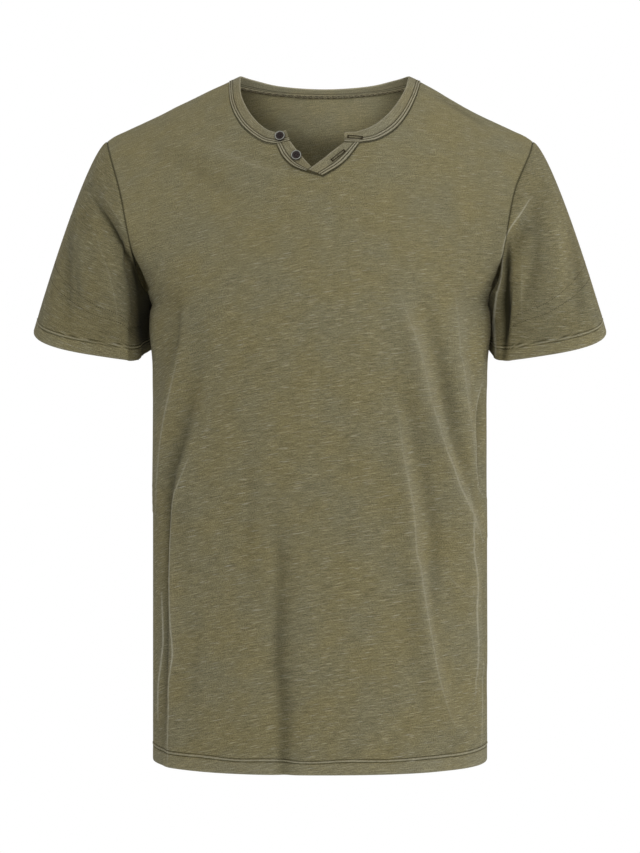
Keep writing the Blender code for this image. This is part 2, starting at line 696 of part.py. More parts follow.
def make_strips():
    """The button strip (wearer's right) and the buttonhole strip, which laps over it at the point."""
    floor_right, floor_left = np.array(NOTCH_FLOOR)
    corner_right = np.array(NECK_RIGHT[1][:2], float)
    corner_left = np.array(NECK_LEFT[1][:2], float)
    cut_right = np.linspace(corner_right, floor_right, NOTCH_CELLS + 1)
    cut_left = np.linspace(corner_left, floor_left, NOTCH_CELLS + 1)
    make_strip("button_strip", cut_right, STRIP_RIGHT_EDGE, STRIP_RIGHT_END, 0)
    make_strip("buttonhole_strip", cut_left, STRIP_LEFT_EDGE, STRIP_LEFT_END, STRIP_LAP)


# ---------------------------------------------------------------- buttons
def make_button(name, x, z):
    """A round button with a raised rim and a dished middle, lying on the band or strip."""
    inner = BUTTON_RADIUS - BUTTON_RIM
    profile = (
        # radius, height
        (BUTTON_RADIUS - BUTTON_ROUND, 0),
        (BUTTON_RADIUS, BUTTON_ROUND),
        (BUTTON_RADIUS, BUTTON_THICKNESS - BUTTON_ROUND),
        (BUTTON_RADIUS - BUTTON_ROUND, BUTTON_THICKNESS),
        (inner, BUTTON_THICKNESS),
        (inner - BUTTON_ROUND, BUTTON_THICKNESS - BUTTON_DISH),
    )
    plan = np.array([x, z])
    normal = surface_normal("front", plan)
    across = unit(np.cross(normal, (0, 0, 1.0)))
    upward = np.cross(across, normal)
    seat = on_body("front", plan) + normal * (BAND_PROUD + BUTTON_SEAT)
    turn = np.linspace(0, 2 * np.pi, BUTTON_SIDES, endpoint=False)[:, None]
    mesh = bmesh.new()
    rings = []
    for radius, height in profile:
        ring = seat + radius * (np.cos(turn) * across + np.sin(turn) * upward) + height * normal
        rings.append([mesh.verts.new(point * METRES) for point in ring])
    for low, high in zip(rings, rings[1:]):
        for i in range(BUTTON_SIDES):
            j = (i + 1) % BUTTON_SIDES
            mesh.faces.new((low[i], low[j], high[j], high[i]))
    mesh.faces.new(rings[0])
    mesh.faces.new(rings[-1])
    bmesh.ops.recalc_face_normals(mesh, faces=mesh.faces)
    return add_object(name, mesh, BUTTON_GREY, metallic=0.6, roughness=0.45)


def main():
    for thing in list(bpy.data.objects):
        bpy.data.objects.remove(thing, do_unlink=True)
    make_panel("front", front_top())
    make_panel("back", back_top())
    make_sleeve("sleeve_right", -1)
    make_sleeve("sleeve_left", 1)
    make_neckband()
    make_strips()
    for name, x, z in BUTTONS:
        make_button(name, x, z)


main()
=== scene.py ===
"""Looks of a short-sleeved, notch-necked jersey t-shirt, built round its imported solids.

Each cloth piece is a thin shell on the same surface as its solid, at a finer pitch, with the creases,
seams, hems and stitches that show. Lengths are in millimetres and become metres when a mesh is made.
+X is the wearer's left, the front faces -Y and +Z is up. Places called plans are (x, z) pairs, the garment
seen from the front.
"""

from collections import namedtuple

import bmesh
import bpy
import numpy as np
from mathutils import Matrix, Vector

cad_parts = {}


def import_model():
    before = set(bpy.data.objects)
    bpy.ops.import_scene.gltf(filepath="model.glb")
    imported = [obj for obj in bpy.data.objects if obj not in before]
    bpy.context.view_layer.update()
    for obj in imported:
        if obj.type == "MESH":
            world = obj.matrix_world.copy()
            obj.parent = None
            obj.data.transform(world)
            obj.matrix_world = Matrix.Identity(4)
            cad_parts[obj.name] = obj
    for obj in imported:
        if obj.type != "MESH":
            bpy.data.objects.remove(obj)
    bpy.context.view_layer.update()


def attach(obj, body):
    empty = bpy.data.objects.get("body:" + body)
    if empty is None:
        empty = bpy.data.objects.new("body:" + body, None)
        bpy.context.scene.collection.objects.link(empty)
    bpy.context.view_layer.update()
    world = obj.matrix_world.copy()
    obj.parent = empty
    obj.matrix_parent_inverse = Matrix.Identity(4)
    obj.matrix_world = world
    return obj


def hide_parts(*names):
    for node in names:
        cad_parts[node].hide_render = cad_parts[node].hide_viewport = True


METRES = 0.001

# ---------------------------------------------------------------- the body's surface, as in the solids
LENGTH = 706.0
ARMPIT = -238.0
WAIST = -400.0
NECK_SHIFT = 5.0
NECK_HALF = 99.5
TIP = 221.5
SQUARENESS = 2.4
SQUAREST = 0.93
SLEEVE_LENGTH = 190.0
BAND_PROUD = 0.6
SHOULDER_LINE = (
    # out, height
    (-25, 34), (0, 37), (25, 34), (50, 25), (75, 11), (90, 1.8), (100, -3.9), (109, -8.3),
    (117.3, -12.5), (132.4, -20.8), (148, -29), (164, -37.4), (182, -45.8), (200, -54), (218, -62.6),
    (224, -67),
)
BODY = (
    # height, front, back, half_width, chest
    (0, 132, 118, 168, 300),
    (-110, 133, 120, 168, 262),
    (-163, 135, 124, 168, 232),
    (-200, 137, 126, 168, 211),
    (-238, 138.5, 126.5, 168, 194),
    (-252, 138.5, 126, 168.8, 189),
    (-272, 138, 125, 171.2, 184),
    (-295, 136.5, 123, 173.2, 179.5),
    (-340, 133, 118, 173.2, 174.5),
    (-400, 128, 112, 173.2, 173.2),
    (-500, 123, 107, 173.2, 173.2),
    (-600, 124, 111, 173.2, 173.2),
    (-706, 127, 119, 173.2, 173.2),
)
CHEST_ENDS = (0.55, 1.0)
SWELL = {"front": (160.0, 0.60), "back": (130.0, 0.55)}
ARMHOLE = (
    # height, out_right, out_left, front, back
    (-238, 168, 168, 0, 0),
    (-226, 176, 174, 33, 32),
    (-213, 182, 179.5, 50, 52),
    (-191, 189.5, 184.5, 64, 68),
    (-163, 194.5, 189, 69, 74),
    (-135, 200.5, 194.5, 62, 68),
    (-116, 205.5, 200, 52, 58),
    (-97, 211.5, 208.5, 39, 44),
    (-78, 217.5, 217, 22, 25),
    (-65.5, 221.5, 221.5, 0, 0),
)
ARMHOLE_MIDDLE = (190.0, 0.0, -155.0)
CUFF_MIDDLE = (236.4, 0.0, -273.0)
CUFF_OUT = (61.6, 0.0, 9.9)
CUFF_FRONT = (-5.0, -52.0, -16.5)
CUFF_BACK = (-3.0, 52.0, 10.0)
CUFF_SQUARENESS = (3.8, 2.6)     # of its inner and its outer side
CUFF_HUG = 1.4
CUFF_PULL = (
    # place (0 underarm, 1 shoulder tip): direction in which the sleeve meets its hem, out and up
    (0.0, 0.2, -0.98),
    (0.5, 0.2, -0.98),
    (1.0, 0.27, -0.92),
)
SLEEVE_PULL = (
    # place (0 underarm, 1 shoulder tip), out, forward, up
    (0.0, 6, 0, -34),
    (0.2, 24, 6, -50),
    (0.45, 48, 12, -45),
    (0.7, 56, 14, -42),
    (0.88, 57, 8, -34),
    (1.0, 56, 0, -31),
)
NECK_RIGHT = (
    # seam_x, seam_z, edge_x, edge_z
    (-30.0, -75.5, -34.2, -64.4),
    (-43.7, -78.6, -43.5, -66.6),
    (-57.0, -75.5, -53.0, -63.0),
    (-72.3, -64.7, -63.5, -54.0),
    (-83.4, -51.0, -73.0, -40.5),
    (-91.6, -31.0, -80.5, -22.0),
    (-94.5, -3.8, -82.0, 1.6),
)
NECK_LEFT = (
    (24.4, -77.0, 24.4, -66.6),
    (39.7, -77.2, 36.5, -66.0),
    (57.5, -73.6, 50.5, -60.5),
    (75.5, -62.0, 65.0, -49.5),
    (88.5, -45.0, 76.5, -35.5),
    (98.0, -24.5, 86.5, -17.5),
    (104.5, -3.8, 92.0, 1.6),
)
BACK_NECK = (
    # out from the neck's middle, seam_z, edge_out, edge_z
    (99.5, -3.8, 87.0, 1.6),
    (94.0, -5.2, 83.5, 2.2),
    (80.0, -6.6, 71.0, 1.4),
    (50.0, -9.0, 45.0, -1.6),
    (0.0, -10.4, 0.0, -3.2),
)

# Largest folds, the same ones as in the solids: a line through three points and how far the cloth moves.
FOLDS = {
    # (place, face): rows of height, half_width, start, middle, end
    ("body", "front"): (
        (5, 13, (-142, -278), (-152, -350), (-166, -455)),
        (5, 12, (-132, -370), (-149, -500), (-153, -715)),
        (-3.5, 9, (-158, -420), (-161, -560), (-163, -715)),
        (-3.5, 22, (-112, -262), (-128, -340), (-140, -430)),
        (-2.5, 16, (-38, -480), (-39, -600), (-40, -720)),
        (4.5, 15, (86, -255), (116, -372), (163, -485)),
        (6, 12, (142, -290), (144, -345), (160, -425)),
        (-7, 13, (160, -300), (157, -370), (170, -440)),
        (3, 14, (70, -362), (90, -440), (93, -520)),
        (3.5, 13, (146, -445), (156, -530), (160, -620)),
        (4, 17, (96, -490), (107, -580), (140, -700)),
        (-3, 16, (122, -440), (130, -560), (128, -715)),
    ),
    ("body", "back"): (
        (5, 16, (60, -235), (100, -330), (158, -440)),
        (5, 16, (-62, -230), (-104, -335), (-160, -450)),
        (-4, 20, (-6, -300), (-16, -420), (4, -560)),
        (4.5, 18, (-70, -420), (-84, -560), (-92, -720)),
        (4.5, 18, (64, -440), (88, -580), (84, -720)),
        (-3.5, 14, (-132, -470), (-138, -600), (-134, -720)),
        (-3.5, 14, (130, -430), (136, -580), (140, -720)),
    ),
    ("armhole_right", "front"): (
        (-7, 10, (-242, -112), (-206, -176), (-174, -226)),
        (3.5, 10, (-206, -138), (-188, -172), (-168, -206)),
    ),
    ("sleeve_right", "front"): (
        (3.5, 11, (-222, -165), (-200, -210), (-188, -262)),
        (4, 16, (-262, -140), (-240, -205), (-214, -262)),
    ),
    ("armhole_left", "front"): (
        (-5.5, 10, (232, -112), (204, -168), (176, -224)),
        (4, 10, (208, -124), (190, -160), (176, -200)),
    ),
    ("sleeve_left", "front"): (
        (-4, 9, (194, -215), (188, -250), (190, -292)),
        (3.5, 16, (262, -135), (238, -200), (212, -268)),
    ),
    ("sleeve_right", "back"): (
        (-6, 12, (-250, -120), (-216, -180), (-180, -240)),
    ),
    ("sleeve_left", "back"): (
        (-6, 12, (250, -120), (216, -180), (180, -240)),
    ),
}
FOLD_SAMPLES = 25
FOLD_FADE = 42.0
HEAD_FADE = 0.12

# Creases finer than the folds, in the scene alone. Widths are to the wearer's right and left of the line.
# A crest above 0 draws a pale line along the crest, worn pale and partly a painted highlight; a crest below
# 0 paints the crease darker still, as painted shade.
CREASES = {
    # (place, face): rows of height, right_width, left_width, crest, line
    ("body", "front"): (
        (-3.2, 6, 3, 0, ((-140, -226), (-143, -250), (-145, -272), (-148, -294), (-150, -314))),
        (-1.3, 8, 7, 0, ((-155, -250), (-157, -295), (-160, -345))),
        (1.2, 3, 2.5, 0.6, ((-142, -294), (-148, -325), (-152.5, -346), (-157, -371), (-161, -402),
         (-164, -427), (-168, -455))),
        (-2, 9, 8, 0, ((-113, -245), (-120, -288), (-125.5, -313), (-131, -339), (-137, -365),
         (-144, -390), (-151, -440))),
        (-4.8, 6, 4, -0.25, ((-127, -320), (-135, -352), (-142, -386), (-148, -406), (-151, -430),
         (-153.5, -458), (-155, -503), (-155, -549), (-155.5, -595), (-156, -628), (-158, -672),
         (-160, -710))),
        (2.1, 2.5, 4, 1.15, ((-130, -388), (-141.5, -421), (-146, -441), (-147.5, -461), (-148, -503),
         (-147, -543), (-146, -563), (-144.5, -590), (-147, -609), (-149, -624), (-149.5, -645),
         (-151.5, -678), (-153, -712))),
        (1.5, 2.5, 3, 1.3, ((-164, -530), (-161.5, -574), (-162, -590), (-163.5, -606), (-166, -628),
         (-167, -665))),
        (-1.1, 3, 3, 0, ((-128, -424), (-132, -436), (-137, -454))),
        (-1.2, 8, 8, 0, ((-133, -425), (-137, -480), (-134, -535))),
        (-1.2, 5, 4, 0, ((-127, -545), (-123, -580), (-125, -605), (-129, -648))),
        (-1.4, 10, 10, 0, ((-42, -395), (-41, -475), (-39, -553), (-36, -640), (-36, -760))),
        (-3.7, 6, 7, 0, ((-43, -455), (-38, -514), (-39, -553), (-40, -592), (-35.5, -632), (-35, -671),
         (-37, -860))),
        (-1.2, 7, 7, 0, ((-68, -375), (-68, -435), (-70, -474), (-66, -514), (-58, -560))),
        (-1.3, 4, 5, 0, ((-110, -74), (-80, -90), (-50, -99), (-12, -108))),
        (1.9, 6, 7, 0.15, ((-134, -72), (-100, -84), (-70, -99), (-30, -112))),
        (-1.7, 9, 9, 0, ((-172, -78), (-138, -92), (-105, -116), (-80, -134))),
        (-1.2, 3, 3, -0.2, ((112, -17), (131, -27), (150, -39), (176, -56))),
        (4.2, 8, 8, 0.2, ((76, -222), (90, -264), (96, -284), (101, -305), (105, -325), (110, -345),
         (116, -365), (123, -386))),
        (4.2, 5, 7, 0.6, ((108, -338), (116, -365), (122.5, -385), (129, -402), (135.5, -421), (142, -434),
         (148.5, -449), (153, -461), (160, -472), (167, -486))),
        (-3, 8, 8, 0, ((76, -290), (91.5, -356), (101, -396), (109, -435), (117, -475), (114, -515),
         (115, -554), (121, -600))),
        (-4, 8, 7, 0, ((102, -222), (115, -265), (122, -300), (128.5, -340), (133, -365), (138.5, -386),
         (145, -406), (150.5, -422), (157, -437), (166, -452))),
        (2.6, 7, 8, 0.25, ((135, -222), (138, -260), (140, -300), (145, -340), (152, -370), (156, -400))),
        (2.6, 5, 2, 0.7, ((169, -314), (164, -335), (161.5, -350), (159.5, -366), (157.5, -386),
         (158, -401), (160.5, -414), (164, -424), (170, -434))),
        (-4.2, 2.4, 6, 0, ((171, -320), (167, -340), (164.5, -356), (162.5, -372), (162, -390),
         (167, -420))),
        (2.2, 7, 7, 0.2, ((76, -335), (80, -375), (83, -400), (86, -420), (92, -450))),
        (4, 6, 7, 0.4, ((78, -372), (90, -436), (92.5, -460), (94, -485), (98, -505), (104, -545),
         (111, -585), (115, -605), (119.5, -621), (124.5, -636), (130, -652), (140, -670))),
        (-0.9, 9, 5, 0, ((82, -490), (90, -550), (97, -600), (108, -655))),
        (3, 4, 6, 0.8, ((147, -430), (151, -477), (152, -493), (154, -508), (155, -524), (154, -545),
         (155, -566), (156.5, -586), (157.5, -640))),
        (-1.4, 3, 3, 0, ((152, -465), (158, -474), (166, -488))),
        (-0.9, 3, 3, 0, ((122, -516), (134, -532), (146, -548))),
        (0.9, 3, 4, 0.2, ((124, -505), (136, -519), (150, -534))),
        (-1.2, 3, 3, 0, ((164, -470), (165, -520), (165, -610))),
        (-1.5, 2.5, 3, 0, ((168.5, -605), (168.5, -645))),
        (1, 3, 3, 0.5, ((164, -592), (165, -625), (164, -690))),
        (-1, 8, 5, 0, ((126, -664), (140, -676), (156, -684))),
    ),
    ("body", "back"): (
        (1.2, 8, 8, 0.3, ((58, -235), (84, -290), (118, -360), (160, -440))),
        (1.2, 8, 8, 0.3, ((-60, -235), (-88, -290), (-122, -365), (-164, -450))),
        (-1, 12, 12, 0, ((-4, -300), (-14, -400), (0, -540))),
        (1, 9, 9, 0.25, ((-72, -430), (-84, -560), (-90, -700))),
        (1, 9, 9, 0.25, ((66, -450), (86, -580), (84, -700))),
    ),
    ("armhole_right", "front"): (
        (-3, 2.4, 2.2, -0.6, ((-238, -122), (-222, -146), (-210, -164), (-200, -180), (-192, -194),
         (-186, -207), (-178, -232))),
        (1.2, 4, 6, 0.2, ((-230, -116), (-212, -140), (-200, -158), (-190, -178))),
    ),
    ("sleeve_right", "front"): (
        (-2.6, 5, 5, 0, ((-252, -140), (-256, -175), (-257, -225), (-255, -275))),
        (-1.5, 4, 4, 0, ((-246, -170), (-247, -210), (-246, -255))),
        (-1.7, 9, 9, 0, ((-240, -128), (-243, -150), (-240, -175))),
        (1.3, 7, 6, 0.2, ((-228, -165), (-215, -200), (-207, -236), (-205, -270))),
        (-2, 13, 8, -1.1, ((-184, -196), (-179, -228), (-177, -258), (-176, -300))),
    ),
    ("armhole_left", "front"): (
        (2.2, 3.5, 4, 0.9, ((220, -126), (212, -133), (200, -150), (190, -165), (185, -178), (183, -198))),
        (-1.8, 7, 8, 0, ((222, -148), (206, -166), (196, -180), (190, -200))),
    ),
    ("sleeve_left", "front"): (
        (3, 2.6, 2.4, 1.6, ((186, -176), (183.5, -205), (181.5, -225), (180, -248), (180, -300))),
        (-4, 2.2, 3.6, -0.8, ((191, -168), (188.5, -200), (187, -225), (186, -252), (186, -310))),
        (1.7, 5, 8, 0.2, ((205, -186), (204, -225), (206, -262))),
        (-2.7, 6, 6, 0, ((222, -116), (224, -150), (221, -182), (215, -212), (208, -236), (202, -262))),
        (2.2, 7, 8, 0, ((236, -128), (242, -165), (244, -205), (243, -255))),
        (-2.2, 7, 7, 0, ((256, -150), (264, -190), (267, -230), (266, -264))),
    ),
    ("sleeve_right", "back"): (
        (-1.2, 8, 8, 0, ((-254, -150), (-252, -200), (-256, -262))),
    ),
    ("sleeve_left", "back"): (
        (-1.2, 8, 8, 0, ((246, -150), (242, -205), (248, -262))),
    ),
}
CREASE_FADE = 16.0
CREST_REACH = 6.0            # a crest's pale line is told apart from its neighbours within this distance
CREASE_PAINTED_SHADING = 0.085          # for each mm, the colour is painted this much darker in creases, as painted shade, and paler on them, as painted highlight

# ---------------------------------------------------------------- cloth, seams and stitches, in mm
WALL = 1.0
HEM_WALL = 1.9
GAP = 0.05                   # from a seam to the edge of each piece
SHOULDER_TURN, SHOULDER_REACH = 50.0, 45.0      # cloth used up where it turns over the shoulder
SEAM_DROP, SEAM_REACH = 0.55, 1.5    # how far cloth dips into a seam, and over what distance
SEAM_DARK, SEAM_LINE = 0.8, 0.9      # how far a seam's groove is darkened with painted shade, and its half width
SEAM_STEPS = (0.0, 0.55, 1.2, 2.0, 3.2)
JOIN_REACH = 14.0            # within this distance of a seam, normals turn to the ones both sides share
TWIN_LOW, TWIN_RIDGE, TWIN_HIGH = 13.3, 14.8, 16.3      # the twin-needle hem, above the hem's edge
HEM_STEPS = (0.0, 0.5, 1.3, 3, 5.5, 8.5, 11, 12.5, TWIN_LOW, 14.0, TWIN_RIDGE, 15.6, TWIN_HIGH, 17.1,
             18.6, 21)
HEM_TOP = 27.0               # above this height over the hem's edge the rows are even
HEM_RISE = {"front": (0.9, 1.14), "back": (0.95, 1.1)}   # stretch of the hem's steps, middle and sides
HEM_RELIEF = (
    # height above the hem's edge, half width, relief
    (TWIN_LOW, 0.55, -0.45), (TWIN_HIGH, 0.55, -0.45), (TWIN_RIDGE, 0.85, 0.45),
)
HEM_PALE = 0.22              # how much paler the folded hem is
HEM_WEAR_AND_SHADE = (
    # height above the hem's edge, half width, how much paler; rows below 0 are painted shade in the stitch
    # grooves
    (TWIN_RIDGE, 0.85, 0.75), (0.0, 1.2, 0.5), (TWIN_LOW, 0.6, -1.0), (TWIN_HIGH, 0.6, -1.0),
)
ROWS_BELOW, ROWS_ABOVE = 150, 84
SHOULDER_CELLS, NECK_CELLS, NOTCH_CELLS, FLOOR_CELLS = 26, 34, 20, 10
SLEEVE_CELLS = 100           # half way round the sleeve
SLEEVE_ROWS = 80
FINE = 400                   # points of a curve before it is divided
FACE_SIGN = {"front": -1, "back": 1}
BODY_COLUMN = {"front": 1, "back": 2}
ARMHOLE_COLUMN = {-1: 1, 1: 2, "front": 3, "back": 4}
SEAM, EDGE = (0, 1), (2, 3)  # columns of the neckline's tables: the band's seam and its free edge
SIDES = ((-1, 0), (1, -1))   # side, and the column of a panel's grid there
SHOULDERS = (slice(0, SHOULDER_CELLS + 1), slice(-SHOULDER_CELLS - 1, None))
SPLINE_STEPS, CREASE_SAMPLES = 20, 40
ARMHOLE_TURN = (0.05, 0.5)   # shares of the armhole over which its shared normals take over

NOTCH_RIGHT = ((-43.7, -78.6), (-37.5, -91.5), (-27.5, -101.4), (-14.5, -107.0))
NOTCH_LEFT = ((39.7, -77.2), (29.5, -91.5), (19.5, -101.3), (3.0, -111.8))
STRIP_RIGHT_EDGE = ((-29.8, -75.8), (-24.0, -84.0), (-16.2, -94.0), (-8.6, -102.6))
STRIP_LEFT_EDGE = ((23.6, -77.8), (13.5, -85.4), (1.2, -95.8), (-11.4, -105.8))
BAND_PROFILE = (
    # share of the width from seam to free edge, height
    (0.0, -1.0), (0.012, -0.45), (0.04, 0.12), (0.075, 0.48), (0.105, 0.58), (0.135, 0.48), (0.16, 0.16),
    (0.18, -0.12), (0.2, 0.14), (0.23, 0.44), (0.262, 0.54), (0.295, 0.44), (0.325, 0.12),
    (0.348, -0.14), (0.372, 0.1), (0.42, 0.26), (0.52, 0.3), (0.64, 0.32), (0.76, 0.34), (0.86, 0.38),
    (0.93, 0.42), (0.965, 0.34), (0.988, 0.02), (1.0, -0.55),
)
BAND_STITCHES = (7, 13)      # rows of the profile with a line of stitches
BAND_RUN = 8                 # the row that the courses are measured along
BAND_WEAR_AND_SHADE = (
    # share of the width, half width, how much paler; rows below 0 are painted shade in the seam's groove
    # and the stitch grooves
    (0.105, 0.04, 0.95), (0.262, 0.035, 0.8), (0.96, 0.035, 0.6),
    (0.0, 0.035, -1.0), (0.18, 0.026, -0.95), (0.348, 0.026, -0.95),
)
BAND_UNEVEN, BAND_WAVE = 0.12, 16        # the strips' relief varies by this share over this length
BAND_THIN, BAND_THIN_POWER = 0.6, 14     # how far the strips' walls thin out, and how near their edges
BAND_WALL, BAND_SINK = 1.5, 0.15         # the inner face is this deep, less the second number
STRIP_WIDTH = 14.5
PANEL_CELLS = 2 * (SHOULDER_CELLS + NECK_CELLS + NOTCH_CELLS) + FLOOR_CELLS
BACK_NECK_CELLS = 120
BAND_END_CELLS = 10
STRIP_CELLS = 36
ARMHOLE_RUN = 200.0          # about the length from underarm to shoulder along the cloth
HEM_UNEVEN = 0.05            # the hem's stitching wanders by this share of its height
HEM_SPAN, HEM_WAVE = 170, 90             # about half the body's width, and the length of those waves
HEM_ROLL = 1.6               # height over which the hem's folded edge is rounded
ROLL_IN, ROLL_THIN = 0.46, 0.9           # how far it is drawn in and thinned there
SLEEVES = (
    # hand, side, how far the front of its inner side is turned from the body
    ("right", -1, 11.0),
    ("left", 1, 7.0),
)
TUCK_BACK_TURN = 4.5         # how far the back of it is turned in behind the body
# Ranges of y, y, distance from the middle and distance from the armhole.
TUCK_BACK, TUCK_FRONT, TUCK_OUT, TUCK_START = (8, 38), (-25, 5), (178, 200), (4, 30)
BULGE, BULGE_DEPTH, BULGE_HALF = 9.5, -34.0, 22.0    # the body's cloth spreads out in front of the sleeves
# Ranges of height, height and distance from the middle, and the distance from the seam where it is full.
BULGE_RISE, BULGE_FALL, BULGE_OUT, BULGE_SEAM = (-308, -250), (-246, -218), (140, 158), 12
# the sleeves' colour is painted darker all over, as painted shade
SLEEVE_PAINTED_SHADE = -0.16
NECK_LIGHT = (5.0, -8.0, 72.0, 46.0)      # middle and half sizes of the back's inside where light is painted on, as if it came in through the neck
DIM, BAND_LIGHT = 0.3, 0.62    # how brightly light is painted onto most inner faces, and the band's
CUFF_SCALE = 0.93            # the sleeve hems are this much narrower than the body's
PUCKER, PUCKER_HALF, PUCKER_WAVE = 0.18, 9.0, 15     # slight waves that the stitching draws into the hem
BODY_SKEW, BODY_BEND = 0.15, 0.0003      # courses rise to the wearer's left, less and less steeply
SLEEVE_SKEW = 0.15
CLOTH_APART, HANDS_APART = 1200, 300     # so that no two pieces show the same streaks
SETTLE_REACH, SETTLE_TURN = 10.0, 13.0   # the band comes down to, and turns at, the shoulder line over this
BAND_TILT = 0.1
STRIP_LAP = 1.2              # the buttonhole strip's lower end laps over the button strip
LAP_FROM = 0.4               # share of its length from which it rises
NOTCH_STRIPS = (
    # name, panel's edge, free edge, lap, where the cloth's courses start
    ("button_strip", NOTCH_RIGHT, STRIP_RIGHT_EDGE, 0, 470),
    ("buttonhole_strip", NOTCH_LEFT, STRIP_LEFT_EDGE, STRIP_LAP, 520),
)
STITCH_PITCH, STITCH_SHARE, STITCH_RADIUS, STITCH_SIT = 2.3, 0.62, 0.26, 0.02
ALLOWANCE = 1.9              # the neck's seam allowance reaches this far above and below its seam
ALLOWANCE_ROWS, ALLOWANCE_WALL, ALLOWANCE_SIT, ALLOWANCE_CROWN = 7, 0.6, 0.12, 0.25
BAND_COURSES, ALLOWANCE_COURSES, ALLOWANCE_SPREAD = 400, 600, 6      # where their cloth's courses start
ONE_THREAD = 100.0           # a pitch longer than any path, for one thread all along it
LADDER_PITCH, LADDER_RADIUS, LADDER_SIT = 1.7, 0.24, 0.08
LADDER_SLANT, LADDER_RUN, LADDER_SHARE = 0.3, 9, 0.98
SATIN_PITCH, SATIN_RADIUS, BAR_LENGTH = 0.6, 0.36, 1.5
SLIT, SATIN_OUT, BAR_SPREAD = 0.3, 0.62, 0.85      # of the buttonhole's width, and of its satin's
THREAD_SIDES = 6
THREAD_PROFILE = ((0.0, 0.35), (0.18, 0.9), (0.5, 1.0), (0.82, 0.9), (1.0, 0.35))    # place, size
BUTTONHOLES = (
    # name, start, end, width, height above the body's surface
    ("buttonhole_upper", (28.0, -71.6), (42.2, -72.6), 2.7, 1.25),
    ("buttonhole_lower", (11.8, -96.4), (24.2, -86.4), 2.5, 1.6),
)
BUTTONS = (
    # name, x, z, turn of its holes
    ("button_upper", -39.9, -71.3, 0.35),
    ("button_lower", -23.6, -91.6, 0.7),
)
BUTTON_SEAT = 1.8            # from the body's surface to the button's underside
BUTTON_SIDES, HOLE_SIDES, SHANK_SIDES = 48, 14, 16
BUTTON_SHARP = 45            # degrees
BUTTON_HOLE, BUTTON_HOLE_OUT = 0.62, 1.15
BELOW_SEAT, DRILL = 2, 8     # where a hole's cutter starts, and its length
# Radii over which the pale rim starts and ends, and its lowest height.
RIM_INNER, RIM_OUTER, RIM_LOW = (3.9, 4.3), (4.85, 5.15), 0.8
# A button's threads: half their distance, height, rise in the middle, way down at the ends, and radius.
THREAD_SHIFT, THREAD_HEIGHT, THREAD_BOW, THREAD_DOWN, BUTTON_THREAD = 0.16, 1.57, 0.3, 1.2, 0.22
SHANK_PROFILE = ((1.1, -1.9), (1.2, 0.6))      # radius, height
BUTTON_PROFILE = (
    # radius, height
    (4.3, 0.0), (4.9, 0.12), (5.3, 0.5), (5.42, 1.0), (5.4, 1.4), (5.2, 1.8), (4.95, 2.05), (4.65, 2.12),
    (4.35, 2.0), (4.05, 1.66), (3.8, 1.5), (3.3, 1.45), (2.6, 1.44), (1.4, 1.45),
)
CAMERA_AWAY, CAMERA_HEIGHT, CAMERA_WIDE = 2.4, -0.362, 0.6656      # metres; the view's width at the origin
SENSOR = 36.0                # mm
FLOOR_HEIGHT, FLOOR_HALF = -1450, 3400     # mm; the floor that a wearer stands on
FLOOR_TONES = ((0.72, 0.72, 0.72), (0.76, 0.76, 0.76))
WORLD_LIGHT = 0.24           # how strongly the white surroundings light the garment
LIGHTS = (
    # name, place, target and size in metres, watts
    ("front_light", (0.0, -2.8, 0.1), (0, 0, -0.4), 2.0, 14.0),
    ("left_light", (-2.2, -2.2, 0.5), (0, 0, -0.2), 1.6, 24.5),
    ("right_light", (3.0, -0.6, 0.1), (0, 0, -0.3), 1.6, 50.0),
    ("top_light", (0.0, -2.6, 2.2), (0, 0, -0.1), 1.6, 19.0),
    ("top_right_light", (1.8, -2.2, 1.8), (0, 0, -0.36), 1.6, 6.0),
    ("sky_light", (0.0, -0.3, 2.6), (0, 0, -0.1), 2.0, 22.0),
    ("back_light", (-1.0, 2.8, 0.7), (0, 0, -0.3), 2.4, 32.0),
    ("back_left_light", (2.6, 2.0, 0.3), (0, 0, -0.3), 1.6, 9.0),
)
# worn is the pale of wear and of painted highlights; seam is the dark of painted shade in grooves and
# creases
JERSEY_TONES = {
    "warm": (0.196, 0.169, 0.084), "grey": (0.184, 0.167, 0.097), "pale": (0.36, 0.33, 0.2),
    "pale_grey": (0.34, 0.325, 0.245), "dark": (0.09, 0.075, 0.034), "worn": (0.36, 0.34, 0.25),
    "seam": (0.024, 0.021, 0.008),
}
BINDING_TONES = {
    "warm": (0.205, 0.178, 0.1), "grey": (0.195, 0.18, 0.115), "pale": (0.34, 0.315, 0.2),
    "pale_grey": (0.34, 0.325, 0.24), "dark": (0.12, 0.1, 0.055), "worn": (0.38, 0.355, 0.27),
    "seam": (0.024, 0.021, 0.008),
}
THREADS = (
    # name, material, darkest and lightest colour
    ("thread", "brown_thread", (0.022, 0.016, 0.008), (0.05, 0.036, 0.018)),
    ("ladder", "brown_overlock_thread", (0.03, 0.017, 0.009), (0.065, 0.04, 0.022)),
    ("button_thread", "dark_button_thread", (0.05, 0.018, 0.015), (0.13, 0.055, 0.05)),
)
HORN_TONES = ((0.018, 0.011, 0.009), (0.25, 0.252, 0.215))
COURSE, WALE = 0.7, 0.8      # mm from one row or column of the knit to the next
SHEETS = {
    # piece: width, length and area of its flat cut, in metres
    "front": (0.52, 0.70, 0.317),
    "back": (0.52, 0.715, 0.323),
    "sleeve_right": (0.36, 0.21, 0.0515),
    "sleeve_left": (0.36, 0.21, 0.0515),
    "neckband": (0.53, 0.0145, 0.0075),
    "button_strip": (0.042, 0.0145, 0.0006),
    "buttonhole_strip": (0.055, 0.0155, 0.00085),
}

SQUARE = ((-1, -1), (1, -1), (1, 1), (-1, 1))      # a square's corners in turn
Piece = namedtuple("Piece", "thing outer normals above_hem")


# ---------------------------------------------------------------- reading tables and curves
def layers(*grids):
    """Grids or single numbers side by side in a last axis."""
    return np.stack(np.broadcast_arrays(*grids), axis=-1)


